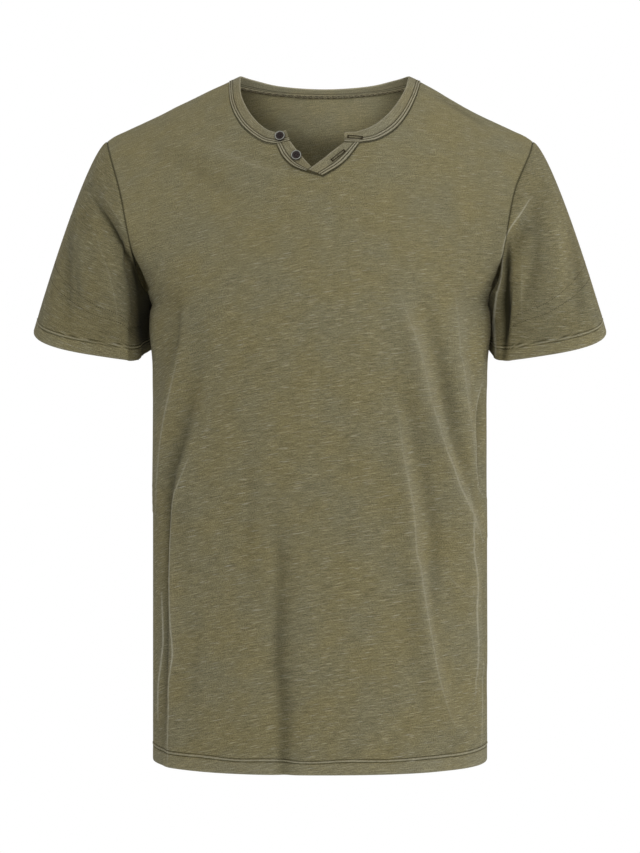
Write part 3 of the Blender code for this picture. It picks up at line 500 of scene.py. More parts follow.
def smooth_read(rows, column, at):
    """Value of a table's column at a place in its first column, along a smooth curve."""
    place, value = np.array(sorted((row[0], row[column]) for row in rows), float).T
    slope = np.gradient(value, place)
    at = np.clip(np.asarray(at, float), place[0], place[-1])
    low = np.clip(np.searchsorted(place, at) - 1, 0, len(place) - 2)
    span = place[low + 1] - place[low]
    t = (at - place[low]) / span
    ease = t * t * (3 - 2 * t)
    bend = t * (1 - t) * span * ((1 - t) * slope[low] - t * slope[low + 1])
    return value[low] * (1 - ease) + value[low + 1] * ease + bend


def smooth_step(low, high, value):
    """0 below low, 1 above high, with a soft start and end."""
    t = np.clip((np.asarray(value, float) - low) / (high - low), 0, 1)
    return t * t * (3 - 2 * t)


def bell(distance, half_width):
    """1 at no distance, falling softly to nothing over about two half widths."""
    return np.exp(-((distance / half_width) ** 2))


def bells(rows, place):
    """Sum of soft rises, each a row of middle, half width and height."""
    return sum(height * bell(place - middle, half_width) for middle, half_width, height in rows)


def spline(points):
    """A finely divided smooth curve through the given points."""
    points = np.array(points, float)
    padded = np.vstack([2 * points[0] - points[1], points, 2 * points[-1] - points[-2]])
    t = np.linspace(0, 1, SPLINE_STEPS, endpoint=False)[:, None]
    curve = [0.5 * (2 * b + (c - a) * t + (2 * a - 5 * b + 4 * c - d) * t**2
                    + (3 * b - a - 3 * c + d) * t**3)
             for a, b, c, d in zip(padded, padded[1:], padded[2:], padded[3:])]
    return np.vstack([*curve, points[-1:]])


def run_of(points):
    """Distance along a path at each of its points."""
    return np.concatenate([[0], np.cumsum(np.linalg.norm(np.diff(points, axis=0), axis=1))])


def along(points, shares, run=None):
    """Points at the given shares of a path's length, or of another length that runs with it."""
    run = run_of(points) if run is None else run
    places = np.asarray(shares) * run[-1]
    return layers(*(np.interp(places, run, column) for column in points.T))


def even(points, cells):
    """The same path with evenly spaced points."""
    return along(points, np.linspace(0, 1, cells + 1))


def unit(vectors):
    """The same directions with length 1."""
    return vectors / np.maximum(np.linalg.norm(vectors, axis=-1, keepdims=True), 1e-9)


def turned_to(first, second, share):
    """Directions turned from the first towards the second by a share."""
    return unit(first * (1 - share) + second * share)


def ripple(places, pitch, seed):
    """Soft unevenness between about -1 and 1 over places of any dimension, the same in every run."""
    chance = np.random.default_rng(seed)
    total = np.zeros(places.shape[:-1])
    for _ in range(9):
        way = unit(chance.normal(size=places.shape[-1])) * 2 * np.pi / (pitch * chance.uniform(0.6, 1.7))
        total += np.sin(places @ way + chance.uniform(0, 2 * np.pi))
    return total / 3


# ---------------------------------------------------------------- the body's surface
def shoulder_height(x):
    """Height of the shoulder line; the neck's shift to one side dies away towards the shoulder tips."""
    shift = NECK_SHIFT * np.clip((150 - np.abs(x)) / 50, 0, 1)
    return smooth_read(SHOULDER_LINE, 1, np.abs(x - shift))


def full_depth(face, x, z):
    """Depth of the cloth in the middle of its section."""
    length, power = SWELL[face]
    fall = np.maximum(shoulder_height(x) - z, 0)
    return smooth_read(BODY, BODY_COLUMN[face], z) * (1 - np.exp(-fall / length)) ** power


def reach(face, side, x, z):
    """Half width of the section's oval: at the panel's edge it passes through the armhole or side seam."""
    below = smooth_read(BODY, 3, z)
    out, off = (smooth_read(ARMHOLE, ARMHOLE_COLUMN[key], z) for key in (side, face))
    share = np.clip(off / np.maximum(full_depth(face, side * out, z), 1), 0, SQUAREST)
    above = out / (1 - share**SQUARENESS) ** (1 / SQUARENESS)
    edge, at_edge = np.where(z > ARMPIT, (out, above), below)
    near_edge = smooth_step(*CHEST_ENDS, np.abs(x) / edge)
    return smooth_read(BODY, 4, z) * (1 - near_edge) + at_edge * near_edge


def depth(face, x, z):
    """Where the cloth's outer face lies, in y, at a place seen from the front."""
    wide = np.where(x < 0, reach(face, -1, x, z), reach(face, 1, x, z))
    across = np.clip(np.abs(x) / wide, 0, 1)
    return FACE_SIGN[face] * full_depth(face, x, z) * (1 - across**SQUARENESS) ** (1 / SQUARENESS)


def on_body(face, plan):
    """Points of the body's surface for a plan."""
    x, z = plan[..., 0], plan[..., 1]
    return layers(x, depth(face, x, z), z)


def surface_normal(face, plan):
    """Outward normals of the body's surface for a plan."""
    step = 0.5
    x, z = plan[..., 0], plan[..., 1]
    slope_x = (depth(face, x + step, z) - depth(face, x - step, z)) / (2 * step)
    slope_z = (depth(face, x, z + step) - depth(face, x, z - step)) / (2 * step)
    return unit(FACE_SIGN[face] * layers(-slope_x, 1, -slope_z))


def cloth_place(face, plan):
    """Distances along the cloth, across from the middle and up from the underarm's height, for a plan."""
    x, z = plan[..., 0], plan[..., 1]
    path = [on_body(face, layers(x * share, z)) for share in np.sin(np.linspace(0, np.pi / 2, 21))]
    across = sum(np.linalg.norm(there - here, axis=-1) for here, there in zip(path, path[1:]))
    fall = np.maximum(shoulder_height(x) - z, 0)
    return np.sign(x) * across, z - ARMPIT + SHOULDER_TURN * np.exp(-fall / SHOULDER_REACH)


# ---------------------------------------------------------------- seams
def armhole_edge(face, side, shares):
    """The armhole seam from the underarm to the shoulder tip: points, shared normals and the way out."""
    height = np.linspace(ARMPIT, ARMHOLE[-1][0], FINE)
    out, off = (smooth_read(ARMHOLE, ARMHOLE_COLUMN[key], height) for key in (side, face))
    points = along(layers(side * out, FACE_SIGN[face] * off, height), shares)
    normals = unit(points - np.array(ARMHOLE_MIDDLE) * (side, 1, 1))
    outward = unit(np.cross(normals, np.gradient(points, axis=0)))
    return points, normals, outward * np.sign(outward[len(outward) // 2, 0] * side)


def seam_spaced(length, cells, both_ends):
    """Shares of an edge's length for its corners: close together beside a seam, then even."""
    near = np.array(SEAM_STEPS) / length
    if both_ends:
        middle = np.linspace(near[-1], 1 - near[-1], cells - 2 * (len(near) - 1) + 1)
        return np.concatenate([near[:-1], middle, 1 - near[-2::-1]])
    return np.concatenate([near[:-1], np.linspace(near[-1], 1, cells - len(near) + 2)])


def shoulder_seam(side):
    """The shoulder seam's plan, from the shoulder tip in to the neck."""
    x = np.linspace(side * TIP, NECK_SHIFT + side * NECK_HALF, FINE)
    path = layers(x, shoulder_height(x))
    return along(path, seam_spaced(run_of(path)[-1], SHOULDER_CELLS, False))


def shoulder_normal(x):
    """Upward normals along the shoulder line."""
    return unit(layers((shoulder_height(x - 1) - shoulder_height(x + 1)) / 2, 0, 1))


def even_on_body(face, plan, cells):
    """The plan of a path on the body, with points evenly spaced along the cloth."""
    return along(plan, np.linspace(0, 1, cells + 1), run_of(on_body(face, plan)))


def neck_chain(rows, columns):
    """A neckline's plan from the notch up to the shoulder, without the band's free end."""
    return even_on_body("front", spline([[row[i] for i in columns] for row in rows[1:]]), NECK_CELLS)


def back_neck(columns, cells):
    """The back neckline's plan, from the wearer's right to left."""
    out, height = columns
    points = [(NECK_SHIFT + hand * row[out], row[height])
              for hand, rows in ((-1, BACK_NECK), (1, BACK_NECK[-2::-1])) for row in rows]
    return even_on_body("back", spline(points), cells)


def top_edge(face):
    """A panel's upper edge: shoulder, neckline, shoulder. The front's neckline goes down into its notch."""
    if face == "front":
        right, left = (even(spline(cut), NOTCH_CELLS) for cut in (NOTCH_RIGHT, NOTCH_LEFT))
        floor = np.linspace(right[-1], left[-1], FLOOR_CELLS + 1)
        neck = [neck_chain(NECK_RIGHT, SEAM)[::-1], right, floor, left[::-1], neck_chain(NECK_LEFT, SEAM)]
    else:
        neck = [back_neck(SEAM, 2 * (NECK_CELLS + NOTCH_CELLS) + FLOOR_CELLS)]
    parts = [*neck, shoulder_seam(1)[::-1]]
    return np.vstack([shoulder_seam(-1)] + [part[1:] for part in parts])


# ---------------------------------------------------------------- folds and creases
def rows_at(table, places):
    """The rows of a table of folds that lie in the named places, each with its face."""
    return [(face, *row) for (owner, face), rows in table.items() if owner in places for row in rows]


def beside(points, line, face):
    """Distance from each point to a line seen from the front, the side of it, which points are on the
    line's face, and the line's strength there, which swells from nothing at each end."""
    away = points[..., (0, 2)][..., None, :] - line
    nearest = np.linalg.norm(away, axis=-1).argmin(axis=-1)
    way = unit(np.gradient(line, axis=0))[nearest]
    offset = np.take_along_axis(away, nearest[..., None, None], axis=-2)[..., 0, :]
    aside = way[..., 0] * offset[..., 1] - way[..., 1] * offset[..., 0]
    beyond = np.maximum(np.abs((way * offset).sum(axis=-1)) - np.linalg.norm(line[1] - line[0]) / 2, 0)
    share = nearest / (len(line) - 1)
    own = points[..., 1] * FACE_SIGN[face] > 0
    return np.hypot(aside, beyond), np.sign(aside), own, own * np.clip(4 * share * (1 - share), 0, 1)


def fold_height(points, places):
    """How far the largest folds in the named places move each point out along its normal."""
    t = np.linspace(0, 1, FOLD_SAMPLES)[:, None]
    total = np.zeros(points.shape[:-1])
    for face, height, half_width, *corners in rows_at(FOLDS, places):
        start, middle, end = np.array(corners)
        line = (1 - t) ** 2 * start + 2 * t * (1 - t) * middle + t**2 * end
        distance, _, _, strength = beside(points, line, face)
        total += height * np.sqrt(strength) * bell(distance, half_width)
    return total * smooth_step(0, FOLD_FADE, np.abs(points[..., 1]))


def crease_height(points, places):
    """How far the fine creases move each point, how much darker in troughs (painted shade) and paler on
    ridges (painted highlight) their colour is painted, and the place beside the nearest crest and its
    paleness."""
    total, tone, crest_pale, blank = np.zeros((4, *points.shape[:-1]))
    crest_away = blank + 2 * CREST_REACH
    for face, height, right_width, left_width, crest, line in rows_at(CREASES, places):
        line = even(spline(line), CREASE_SAMPLES)
        distance, side, own, strength = beside(points, line, face)
        leftward = side * np.sign(line[0, 1] - line[-1, 1]) > 0
        moved = strength * bell(distance, np.where(leftward, left_width, right_width))
        total += moved * height
        # painted shade in troughs and painted highlight on ridges, with more painted shade from a crest
        # below 0
        tone += moved * (CREASE_PAINTED_SHADING * height + min(crest, 0))
        nearer = own & (crest > 0) & (distance < np.abs(crest_away))
        crest_away = np.where(nearer, np.where(leftward, distance, -distance), crest_away)
        crest_pale = np.where(nearer, crest * np.sqrt(strength), crest_pale)
    fade = smooth_step(0, CREASE_FADE, np.abs(points[..., 1]))
    crest_pale = crest_pale * fade * (1 - smooth_step(0.6 * CREST_REACH, CREST_REACH, np.abs(crest_away)))
    return np.stack([total * fade, tone * fade, np.clip(crest_away, -CREST_REACH, CREST_REACH), crest_pale])


# ---------------------------------------------------------------- meshes
def linked(name, data):
    """A new object in the scene."""
    thing = bpy.data.objects.new(name, data)
    bpy.context.collection.objects.link(thing)
    return thing


def plain_object(name, corners, faces):
    """An object from corners in mm and faces, with nothing else said about it."""
    data = bpy.data.meshes.new(name)
    data.from_pydata((np.asarray(corners) * METRES).tolist(), [], [list(face) for face in faces])
    return linked(name, data)


def smoothed(data, sharp):
    """Smooth shading but for edges above an angle in degrees."""
    data.shade_smooth()
    data.set_sharp_from_angle(angle=np.radians(sharp))


def garment_object(name, corners, faces, material, slot, sharp=60):
    """A piece of the garment."""
    thing = plain_object(name, corners, faces)
    smoothed(thing.data, sharp)
    thing.data.materials.append(material)
    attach(thing, "root")
    return thing


def set_mark(thing, name, values):
    """Gives each corner of a mesh three numbers that its material reads."""
    mark = thing.data.attributes.new(name, "FLOAT_VECTOR", "POINT")
    mark.data.foreach_set("vector", np.asarray(values, np.float32).ravel())


def grid_normals(points, wrap):
    """Normals of a grid of points; wrap says that its columns close into a ring."""
    if wrap:
        across = np.roll(points, -1, axis=1) - np.roll(points, 1, axis=1)
    else:
        across = np.gradient(points, axis=1)
    return unit(np.cross(across, np.gradient(points, axis=0)))


def shell(name, outer, inner, cloth, wear_and_painted_shading, material, slot, wrap=False, light=DIM):
    """A closed thin wall between two grids of points. The material reads the grids cloth and
    wear_and_painted_shading.

    Light says how brightly light is painted onto the inner face's colour, as one number or for each point.
    """
    base = cloth[..., 0].size
    index = np.arange(base).reshape(outer.shape[:2])
    if wrap:
        index = np.hstack([index, index[:, :1]])
    skin = layers(index[:-1, :-1], index[:-1, 1:], index[1:, 1:], index[1:, :-1]).reshape(-1, 4)
    edges = [index[0], index[-1][::-1]]
    if not wrap:
        edges += [index[:, -1], index[:, 0][::-1]]
    rims = [layers(edge[1:], edge[:-1], edge[:-1] + base, edge[1:] + base) for edge in edges]
    faces = np.vstack([skin, skin[:, ::-1] + base, *rims])
    corners = np.vstack([outer.reshape(-1, 3), inner.reshape(-1, 3)])
    a, b, c = (corners[skin[:, i]] for i in range(3))
    if (np.cross(b - a, c - a) * (a - corners[skin[:, 0] + base])).sum() < 0:
        faces = faces[:, ::-1]
    thing = garment_object(name, corners, faces, material, slot)
    outside, worn = cloth.reshape(base, 3), wear_and_painted_shading.reshape(base, 3)
    set_mark(thing, "cloth", np.vstack([outside, outside + layers(0, 0, np.ravel(light))]))
    set_mark(thing, "wear_and_painted_shading", np.vstack([worn, worn]))
    return thing


def tube_faces(rings, sides):
    """Faces of a closed tube whose rings of corners follow one another."""
    last = (rings - 1) * sides
    walls = [(a + i, a + (i + 1) % sides, a + (i + 1) % sides + sides, a + i + sides)
             for a in range(0, last, sides) for i in range(sides)]
    return walls + [tuple(range(sides))[::-1], tuple(range(last, last + sides))]


def threads(name, paths, pitch, share, radius, material):
    """Short rounded threads along several paths of (points, normals), each a share of the pitch long."""
    corners, faces = [], []
    turn = np.linspace(0, 2 * np.pi, THREAD_SIDES, endpoint=False)[:, None]
    pattern = tube_faces(len(THREAD_PROFILE), THREAD_SIDES)
    for points, normals in paths:
        run = run_of(points)
        count = max(int(run[-1] / pitch), 1)
        for i in range(count):
            ends = (np.array([i, i + share]) + (1 - share) / 2) / count
            start, end = along(points, ends, run)
            lift = unit(along(normals, [ends.mean()], run)[0])
            across = np.cross(unit(end - start), lift)
            around = radius * (np.cos(turn) * across + np.sin(turn) * lift)
            first = len(corners) * THREAD_SIDES
            corners += [start + (end - start) * step + size * around for step, size in THREAD_PROFILE]
            faces += [[first + corner for corner in face] for face in pattern]
    return garment_object(name, np.vstack(corners), faces, material, "thread", sharp=180)


# ---------------------------------------------------------------- hems and seams
def away_from(points, axis, last):
    """Distance of each point of a grid from its first or last row or column, along the cloth."""
    if last:
        return np.flip(away_from(np.flip(points, axis), axis, False), axis)
    steps = np.linalg.norm(np.diff(points, axis=axis), axis=-1)
    pad = np.zeros_like(np.take(points[..., 0], [0], axis=axis))
    return np.concatenate([pad, np.cumsum(steps, axis=axis)], axis=axis)


def edge_blend(normals, edge, away):
    """Turns normals near an edge to the edge's own. Edge and away run across the grid from that edge."""
    return turned_to(edge, normals, smooth_step(0, JOIN_REACH, away)[..., None])


def hemmed(folded, normals, seam, above_hem):
    """The outer face with its hem and seams pressed in, the wall's thickness and how pale the cloth is,
    with painted shade in the seam and stitch grooves.
    """
    edge = 1 - np.sqrt(1 - np.clip(1 - above_hem / HEM_ROLL, 0, 1) ** 2)
    thick = WALL + (HEM_WALL - WALL) * (1 - smooth_step(TWIN_HIGH, TWIN_HIGH + 2, above_hem))
    relief = bells(HEM_RELIEF, above_hem) - ROLL_IN * edge * thick - SEAM_DROP * bell(seam, SEAM_REACH)
    wave = ripple(folded * (1, 1, 0.25), PUCKER_WAVE, 11)
    relief += PUCKER * wave * bell(above_hem - TWIN_RIDGE, PUCKER_HALF)
    flat = HEM_PALE * (1 - smooth_step(TWIN_HIGH, TWIN_HIGH + 3, above_hem))
    pale = flat + bells(HEM_WEAR_AND_SHADE, above_hem) - SEAM_DARK * bell(seam, SEAM_LINE)
    return folded + normals * relief[..., None], (thick * (1 - ROLL_THIN * edge))[..., None], pale


# ---------------------------------------------------------------- front and back
def section_places(face):
    """Places across the body, in half widths, close together beside the side seams."""
    angle = np.linspace(-np.pi / 2, np.pi / 2, 3 * FINE)
    power = 2 / SQUARENESS
    across = np.sign(angle) * np.abs(np.sin(angle)) ** power
    wide, deep = (smooth_read(BODY, column, WAIST) for column in (3, BODY_COLUMN[face]))
    path = layers(across * wide, deep * np.abs(np.cos(angle)) ** power)
    shares = seam_spaced(run_of(path)[-1], PANEL_CELLS, True)
    return along(path, shares)[:, 0] / wide, shares


def panel_plan(face):
    """The panel's grid of plans, rows up to the underarm and then up to its top edge, the shares of the way
    from the underarm to the top, and how far the hem's steps are stretched across the body."""
    places, over = section_places(face)
    middle, sides = HEM_RISE[face]
    rise = middle + (sides - middle) * places**2
    rise += HEM_UNEVEN * ripple(places[:, None] * HEM_SPAN, HEM_WAVE, 3)
    start = -LENGTH + HEM_TOP * rise
    share = np.linspace(0, 1, ROWS_BELOW)[:, None]
    heights = np.vstack([-LENGTH + np.outer(HEM_STEPS, rise), start + (ARMPIT - start) * share])
    lower = layers(smooth_read(BODY, 3, heights) * places, heights)
    up = 1 - seam_spaced(ARMHOLE_RUN, ROWS_ABOVE, False)[::-1]
    right, left = (armhole_edge(face, side, up)[0][:, None, (0, 2)] for side in (-1, 1))
    top, bottom = top_edge(face), lower[-1]
    u, v = up[:, None, None], over[None, :, None]
    upper = ((1 - u) * bottom + u * top + (1 - v) * right + v * left - (1 - v) * (1 - u) * bottom[0]
             - v * (1 - u) * bottom[-1] - (1 - v) * u * top[0] - v * u * top[-1])
    return np.vstack([lower, upper[1:]]), up, rise


def panel_normals(face, outer, plan, up):
    """The panel's outward normals, turned along its seams to the ones that its neighbours share."""
    normals = -FACE_SIGN[face] * grid_normals(outer, False)
    first = len(plan) - len(up)
    for side, column in SIDES:
        shared = np.tile((side, 0.0, 0.0), (len(plan), 1))
        seam = armhole_edge(face, side, up)[1]
        shared[first:] = turned_to(normals[first:, column], seam, smooth_step(*ARMHOLE_TURN, up)[:, None])
        normals = edge_blend(normals, shared[:, None], away_from(outer, 1, side > 0))
    away = away_from(outer, 0, True)
    for part in SHOULDERS:
        ridge = shoulder_normal(plan[-1, part, 0])
        normals[:, part] = edge_blend(normals[:, part], ridge[None], away[:, part])
    return normals


def panel_shell(face, material):
    """The front or back panel as a thin shell with its hem."""
    plan, up, rise = panel_plan(face)
    first = len(plan) - len(up)
    outer = on_body(face, plan)
    for part in SHOULDERS:
        outer[-1, part, 1] = 0
    normals = panel_normals(face, outer, plan, up)
    places = ("body", "armhole_right", "armhole_left")
    height, tone, *crest = crease_height(outer, places)
    seam = np.minimum(away_from(outer, 1, False), away_from(outer, 1, True))
    seam = np.minimum(seam, away_from(outer, 0, True))
    folded = outer + normals * (height + fold_height(outer, places))[..., None]
    folded[..., 0] += armpit_bulge(outer, seam)
    normals = panel_normals(face, folded, plan, up)
    above_hem = (plan[..., 1] + LENGTH) / rise
    outer, thick, pale = hemmed(folded, normals, seam, above_hem)
    inward = FACE_SIGN[face] * GAP
    for side, column in SIDES:
        outer[:first, column, 1] += inward
        outer[first:, column] -= GAP * armhole_edge(face, side, up)[2]
    for part in SHOULDERS:
        outer[-1, part, 1] += inward
    across, upward = cloth_place(face, plan)
    cloth = layers(across, upward - across * BODY_SKEW + across**2 * BODY_BEND, 0)
    light = neck_light(outer) if face == "back" else DIM
    # the creases' painted shade and highlight join the hem's wear and the painted shade of seams
    wear_and_painted_shading = layers(*crest, pale + tone)
    inner = outer - normals * thick
    thing = shell(face + "_cloth", outer, inner, cloth, wear_and_painted_shading, material, "jersey", light=light)
    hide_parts(face)
    return Piece(thing, outer, normals, above_hem)


def neck_light(points):
    """Share of painted light on the inside of the back, as if it came in through the neck."""
    x, z, half_width, half_height = NECK_LIGHT
    return np.exp(-(np.hypot((points[..., 0] - x) / half_width, (points[..., 2] - z) / half_height) ** 4))


def armpit_bulge(points, seam):
    """How far the front's cloth spreads sideways below each armpit, in x."""
    x, y, z = (points[..., i] for i in range(3))
    deep = bell(y - BULGE_DEPTH, BULGE_HALF)
    high = smooth_step(*BULGE_RISE, z) * (1 - smooth_step(*BULGE_FALL, z))
    wide = smooth_step(*BULGE_OUT, np.abs(x)) * smooth_step(0, BULGE_SEAM, seam)
    return np.sign(x) * BULGE * deep * high * wide


# ---------------------------------------------------------------- sleeves
def oval_place(turn):
    """Shares of the sleeve hem's outward and forward axes, at a turn from the underarm over the front."""
    out, front = -np.cos(turn), np.sin(turn)
    power = 2 / np.where(out < 0, *CUFF_SQUARENESS)
    return np.sign(out) * np.abs(out) ** power, np.sign(front) * np.abs(front) ** power


def sleeve_rows():
    """Shares of the sleeve's length for its rings, close together at the armhole and at the hem."""
    head = np.array(SEAM_STEPS) / SLEEVE_LENGTH
    hem = 1 - np.array(HEM_STEPS[::-1]) * CUFF_SCALE / SLEEVE_LENGTH
    return np.concatenate([head[:-1], np.linspace(head[-1], hem[0], SLEEVE_ROWS), hem[1:]])


def sleeve_grid(side):
    """Points from the armhole to the sleeve's hem, the seam's shared normals and way out, and how far up
    the armhole each column starts."""
    edges = [armhole_edge(face, side, np.linspace(0, 1, SLEEVE_CELLS + 1)) for face in ("front", "back")]
    head, shared, head_out = (np.vstack([front[:-1], back[:0:-1]]) for front, back in zip(*edges))
    round_place = np.arange(len(head)) / len(head)
    up = 1 - np.abs(2 * round_place - 1)
    pull = layers(*(smooth_read(SLEEVE_PULL, column, up) for column in (1, 2, 3)))
    pull *= layers(side, np.where(round_place < 0.5, -1.0, 1.0), 1)
    middle, out, front, back = np.array((CUFF_MIDDLE, CUFF_OUT, CUFF_FRONT, CUFF_BACK)) * (side, 1, 1)
    out_share, front_share = (share[:, None] for share in oval_place(round_place * 2 * np.pi))
    cuff = middle + out_share * out
    cuff += np.maximum(front_share, 0) * front + np.maximum(-front_share, 0) * back
    hug = 2 * CUFF_HUG * np.maximum(-out_share, 0) * np.abs(front_share)
    cuff -= hug * (side, 0, 0)
    meet = layers(side * smooth_read(CUFF_PULL, 1, up), 0, smooth_read(CUFF_PULL, 2, up))
    leave = np.linalg.norm(cuff - head, axis=1)[:, None] * meet
    t = sleeve_rows()[:, None, None]
    rings = ((2 * t**3 - 3 * t**2 + 1) * head + (t**3 - 2 * t**2 + t) * pull
             + (3 * t**2 - 2 * t**3) * cuff + (t**3 - t**2) * leave)
    return rings, shared, head_out, up


def tuck(points, side, front_turn):
    """Turns the sleeve's inner side: its front away from the body, its back in behind the body."""
    x, y = points[..., 0], points[..., 1]
    turn = front_turn * (1 - smooth_step(*TUCK_FRONT, y)) - TUCK_BACK_TURN * smooth_step(*TUCK_BACK, y)
    share = (1 - smooth_step(*TUCK_OUT, np.abs(x))) * smooth_step(*TUCK_START, away_from(points, 0, False))
    return points + layers(side * share * turn, 0, 0)


def sleeve_normals(outer, shared, up, side):
    """A sleeve's outward normals, turned at the armhole to the ones that the panels share."""
    normals = -side * grid_normals(outer, True)
    head = turned_to(normals[0], shared, smooth_step(*ARMHOLE_TURN, up)[:, None])
    return edge_blend(normals, head[None], away_from(outer, 0, False))


def sleeve_shell(hand, side, front_turn, material):
    """A sleeve as a thin tube from the armhole to its hem."""
    name, armhole = "sleeve_" + hand, "armhole_" + hand
    outer, shared, head_out, up = sleeve_grid(side)
    outer = tuck(outer, side, front_turn)
    normals = sleeve_normals(outer, shared, up, side)
    height, tone, *crest = crease_height(outer, (name,))
    joined, joined_tone, *joined_crest = crease_height(outer, (armhole,))
    crest = np.where(np.abs(joined_crest[0]) < np.abs(crest[0]), joined_crest, crest)
    fade = smooth_step(0, HEAD_FADE, sleeve_rows())[:, None]
    folds = fade * (fold_height(outer, (name,)) + height) + fold_height(outer, (armhole,)) + joined
    folded = outer + normals * folds[..., None]
    normals = sleeve_normals(folded, shared, up, side)
    seam, above_hem = (away_from(outer, 0, last) for last in (False, True))
    outer, thick, pale = hemmed(folded, normals, seam, above_hem / CUFF_SCALE)
    outer[0] += head_out * GAP
    ring = np.linalg.norm(np.roll(outer, -1, axis=1) - outer, axis=-1)
    run = np.cumsum(ring, axis=1) - ring
    across = side * (run[:, SLEEVE_CELLS:SLEEVE_CELLS + 1] - run)
    cloth = layers(across, above_hem - across * SLEEVE_SKEW - CLOTH_APART - side * HANDS_APART, 0)
    # the sleeves' painted shade and the creases' painted shade and highlight join the hem's wear
    wear_and_painted_shading = layers(*crest, pale + tone + joined_tone + SLEEVE_PAINTED_SHADE)
    inner = outer - normals * thick
    thing = shell(name + "_cloth", outer, inner, cloth, wear_and_painted_shading, material, "jersey", wrap=True)
    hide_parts(name)
    return Piece(thing, outer, normals, above_hem / CUFF_SCALE)


# ---------------------------------------------------------------- neckband and notch strips
def settle(points, normals, ends):
    """Brings a chain of points down onto the shoulder line at the named ends of the chain."""
    run = run_of(points)
    for end in ends:
        away = np.abs(run - run[end])
        points[:, 1] -= points[end, 1] * np.exp(-away / SETTLE_REACH)
        x = points[end, 0]
        ridge = unit(shoulder_normal(x) + (np.sign(x) * BAND_TILT, 0, 0))
        normals = turned_to(normals, ridge, np.exp(-away / SETTLE_TURN)[:, None])
    return points, normals


def band_chain(rows, columns):
    """A line of the band's front part, from its free end at the notch up to the shoulder."""
    end = np.array([rows[0][i] for i in columns], float)
    chain = neck_chain(rows, columns)
    start = end + (chain[0] - end) * np.linspace(0, 1, BAND_END_CELLS, endpoint=False)[:, None]
    return np.vstack([start, chain])


def band_line(columns):
    """One line of the neckband all round the neck, with its normals."""
    chains = []
    for face, plan, ends in (
        ("front", band_chain(NECK_RIGHT, columns), (-1,)),
        ("back", back_neck(columns, BACK_NECK_CELLS), (0, -1)),
        ("front", band_chain(NECK_LEFT, columns)[::-1], (0,)),
    ):
        chains.append(settle(on_body(face, plan), surface_normal(face, plan), ends))
    points, normals = (np.vstack([right, back[1:-1], left]) for right, back, left in zip(*chains))
    return points, unit(normals)


def strip_shell(name, seam, edge, lift, courses, material, light=DIM):
    """A folded strip from its seam to its free edge, each a line of (points, normals)."""
    share, height = np.array(BAND_PROFILE).T[..., None, None]
    start = seam[0] + unit(edge[0] - seam[0]) * GAP
    base = start + (edge[0] - start) * share
    normals = unit(seam[1] + (edge[1] - seam[1]) * share)
    uneven = 1 + BAND_UNEVEN * ripple(base, BAND_WAVE, 21)[..., None]
    outer = base + normals * (BAND_PROUD + height * uneven + lift)
    thin = BAND_THIN * np.clip(np.abs(share - 0.5) * 2, 0, 1) ** BAND_THIN_POWER
    inner = base + normals * (BAND_PROUD + lift - BAND_WALL * (1 - thin) + BAND_SINK)
    share, run = share[..., 0], run_of(outer[BAND_RUN])
    cloth = layers(run, share * STRIP_WIDTH + courses, 0)
    wear_and_painted_shading = layers(2 * CREST_REACH, 0 * run, bells(BAND_WEAR_AND_SHADE, share))
    thing = shell(name + "_cloth", outer, inner, cloth, wear_and_painted_shading, material, "binding", light=light)
    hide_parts(name)
    return Piece(thing, outer, normals, None)


def notch_strip(name, panel_edge, free_edge, lap, courses, material):
    """A notch strip from its upper end at the neckband down to the notch's point."""
    plans = [even(spline(line), STRIP_CELLS) for line in (panel_edge, free_edge)]
    seam, edge = ((on_body("front", plan), surface_normal("front", plan)) for plan in plans)
    lift = (smooth_step(LAP_FROM, 1.0, np.linspace(0, 1, STRIP_CELLS + 1)) * lap)[:, None]
    return strip_shell(name, seam, edge, lift, courses, material)


def allowance_shell(material):
    """The overlocked seam allowance inside the neck: a narrow strip over the seam, all round."""
    seam, normals = band_line(SEAM)
    share = np.linspace(0, 1, ALLOWANCE_ROWS)[:, None, None]
    base = seam + unit(band_line(EDGE)[0] - seam) * ALLOWANCE * (1 - 2 * share)
    inner = base - normals * (WALL + ALLOWANCE_SIT + ALLOWANCE_CROWN * np.sin(np.pi * share))
    outer = inner - normals * ALLOWANCE_WALL
    cloth = layers(run_of(seam), ALLOWANCE_COURSES + ALLOWANCE_SPREAD * share[..., 0], BAND_LIGHT)
    wear_and_painted_shading = layers(2 * CREST_REACH, 0, 0 * cloth[..., 0])
    thing = shell("neck_seam_allowance", outer, inner, cloth, wear_and_painted_shading, material, "binding")
    return Piece(thing, outer, np.broadcast_to(-normals, outer.shape), None)


# ---------------------------------------------------------------- stitches
def stitch_rows(name, piece, material):
    """A piece's two lines of stitches: beside a strip's raised lines, or all along a hem."""
    rows = BAND_STITCHES
    if piece.above_hem is not None:
        rows = [int(np.abs(piece.above_hem[:, 0] - height).argmin()) for height in (TWIN_LOW, TWIN_HIGH)]
    paths = [(piece.outer[row] + piece.normals[row] * STITCH_SIT, piece.normals[row]) for row in rows]
    if name.startswith("sleeve"):
        paths = [tuple(np.vstack([chain, chain[:1]]) for chain in path) for path in paths]
    return threads(name, paths, STITCH_PITCH, STITCH_SHARE, STITCH_RADIUS, material)


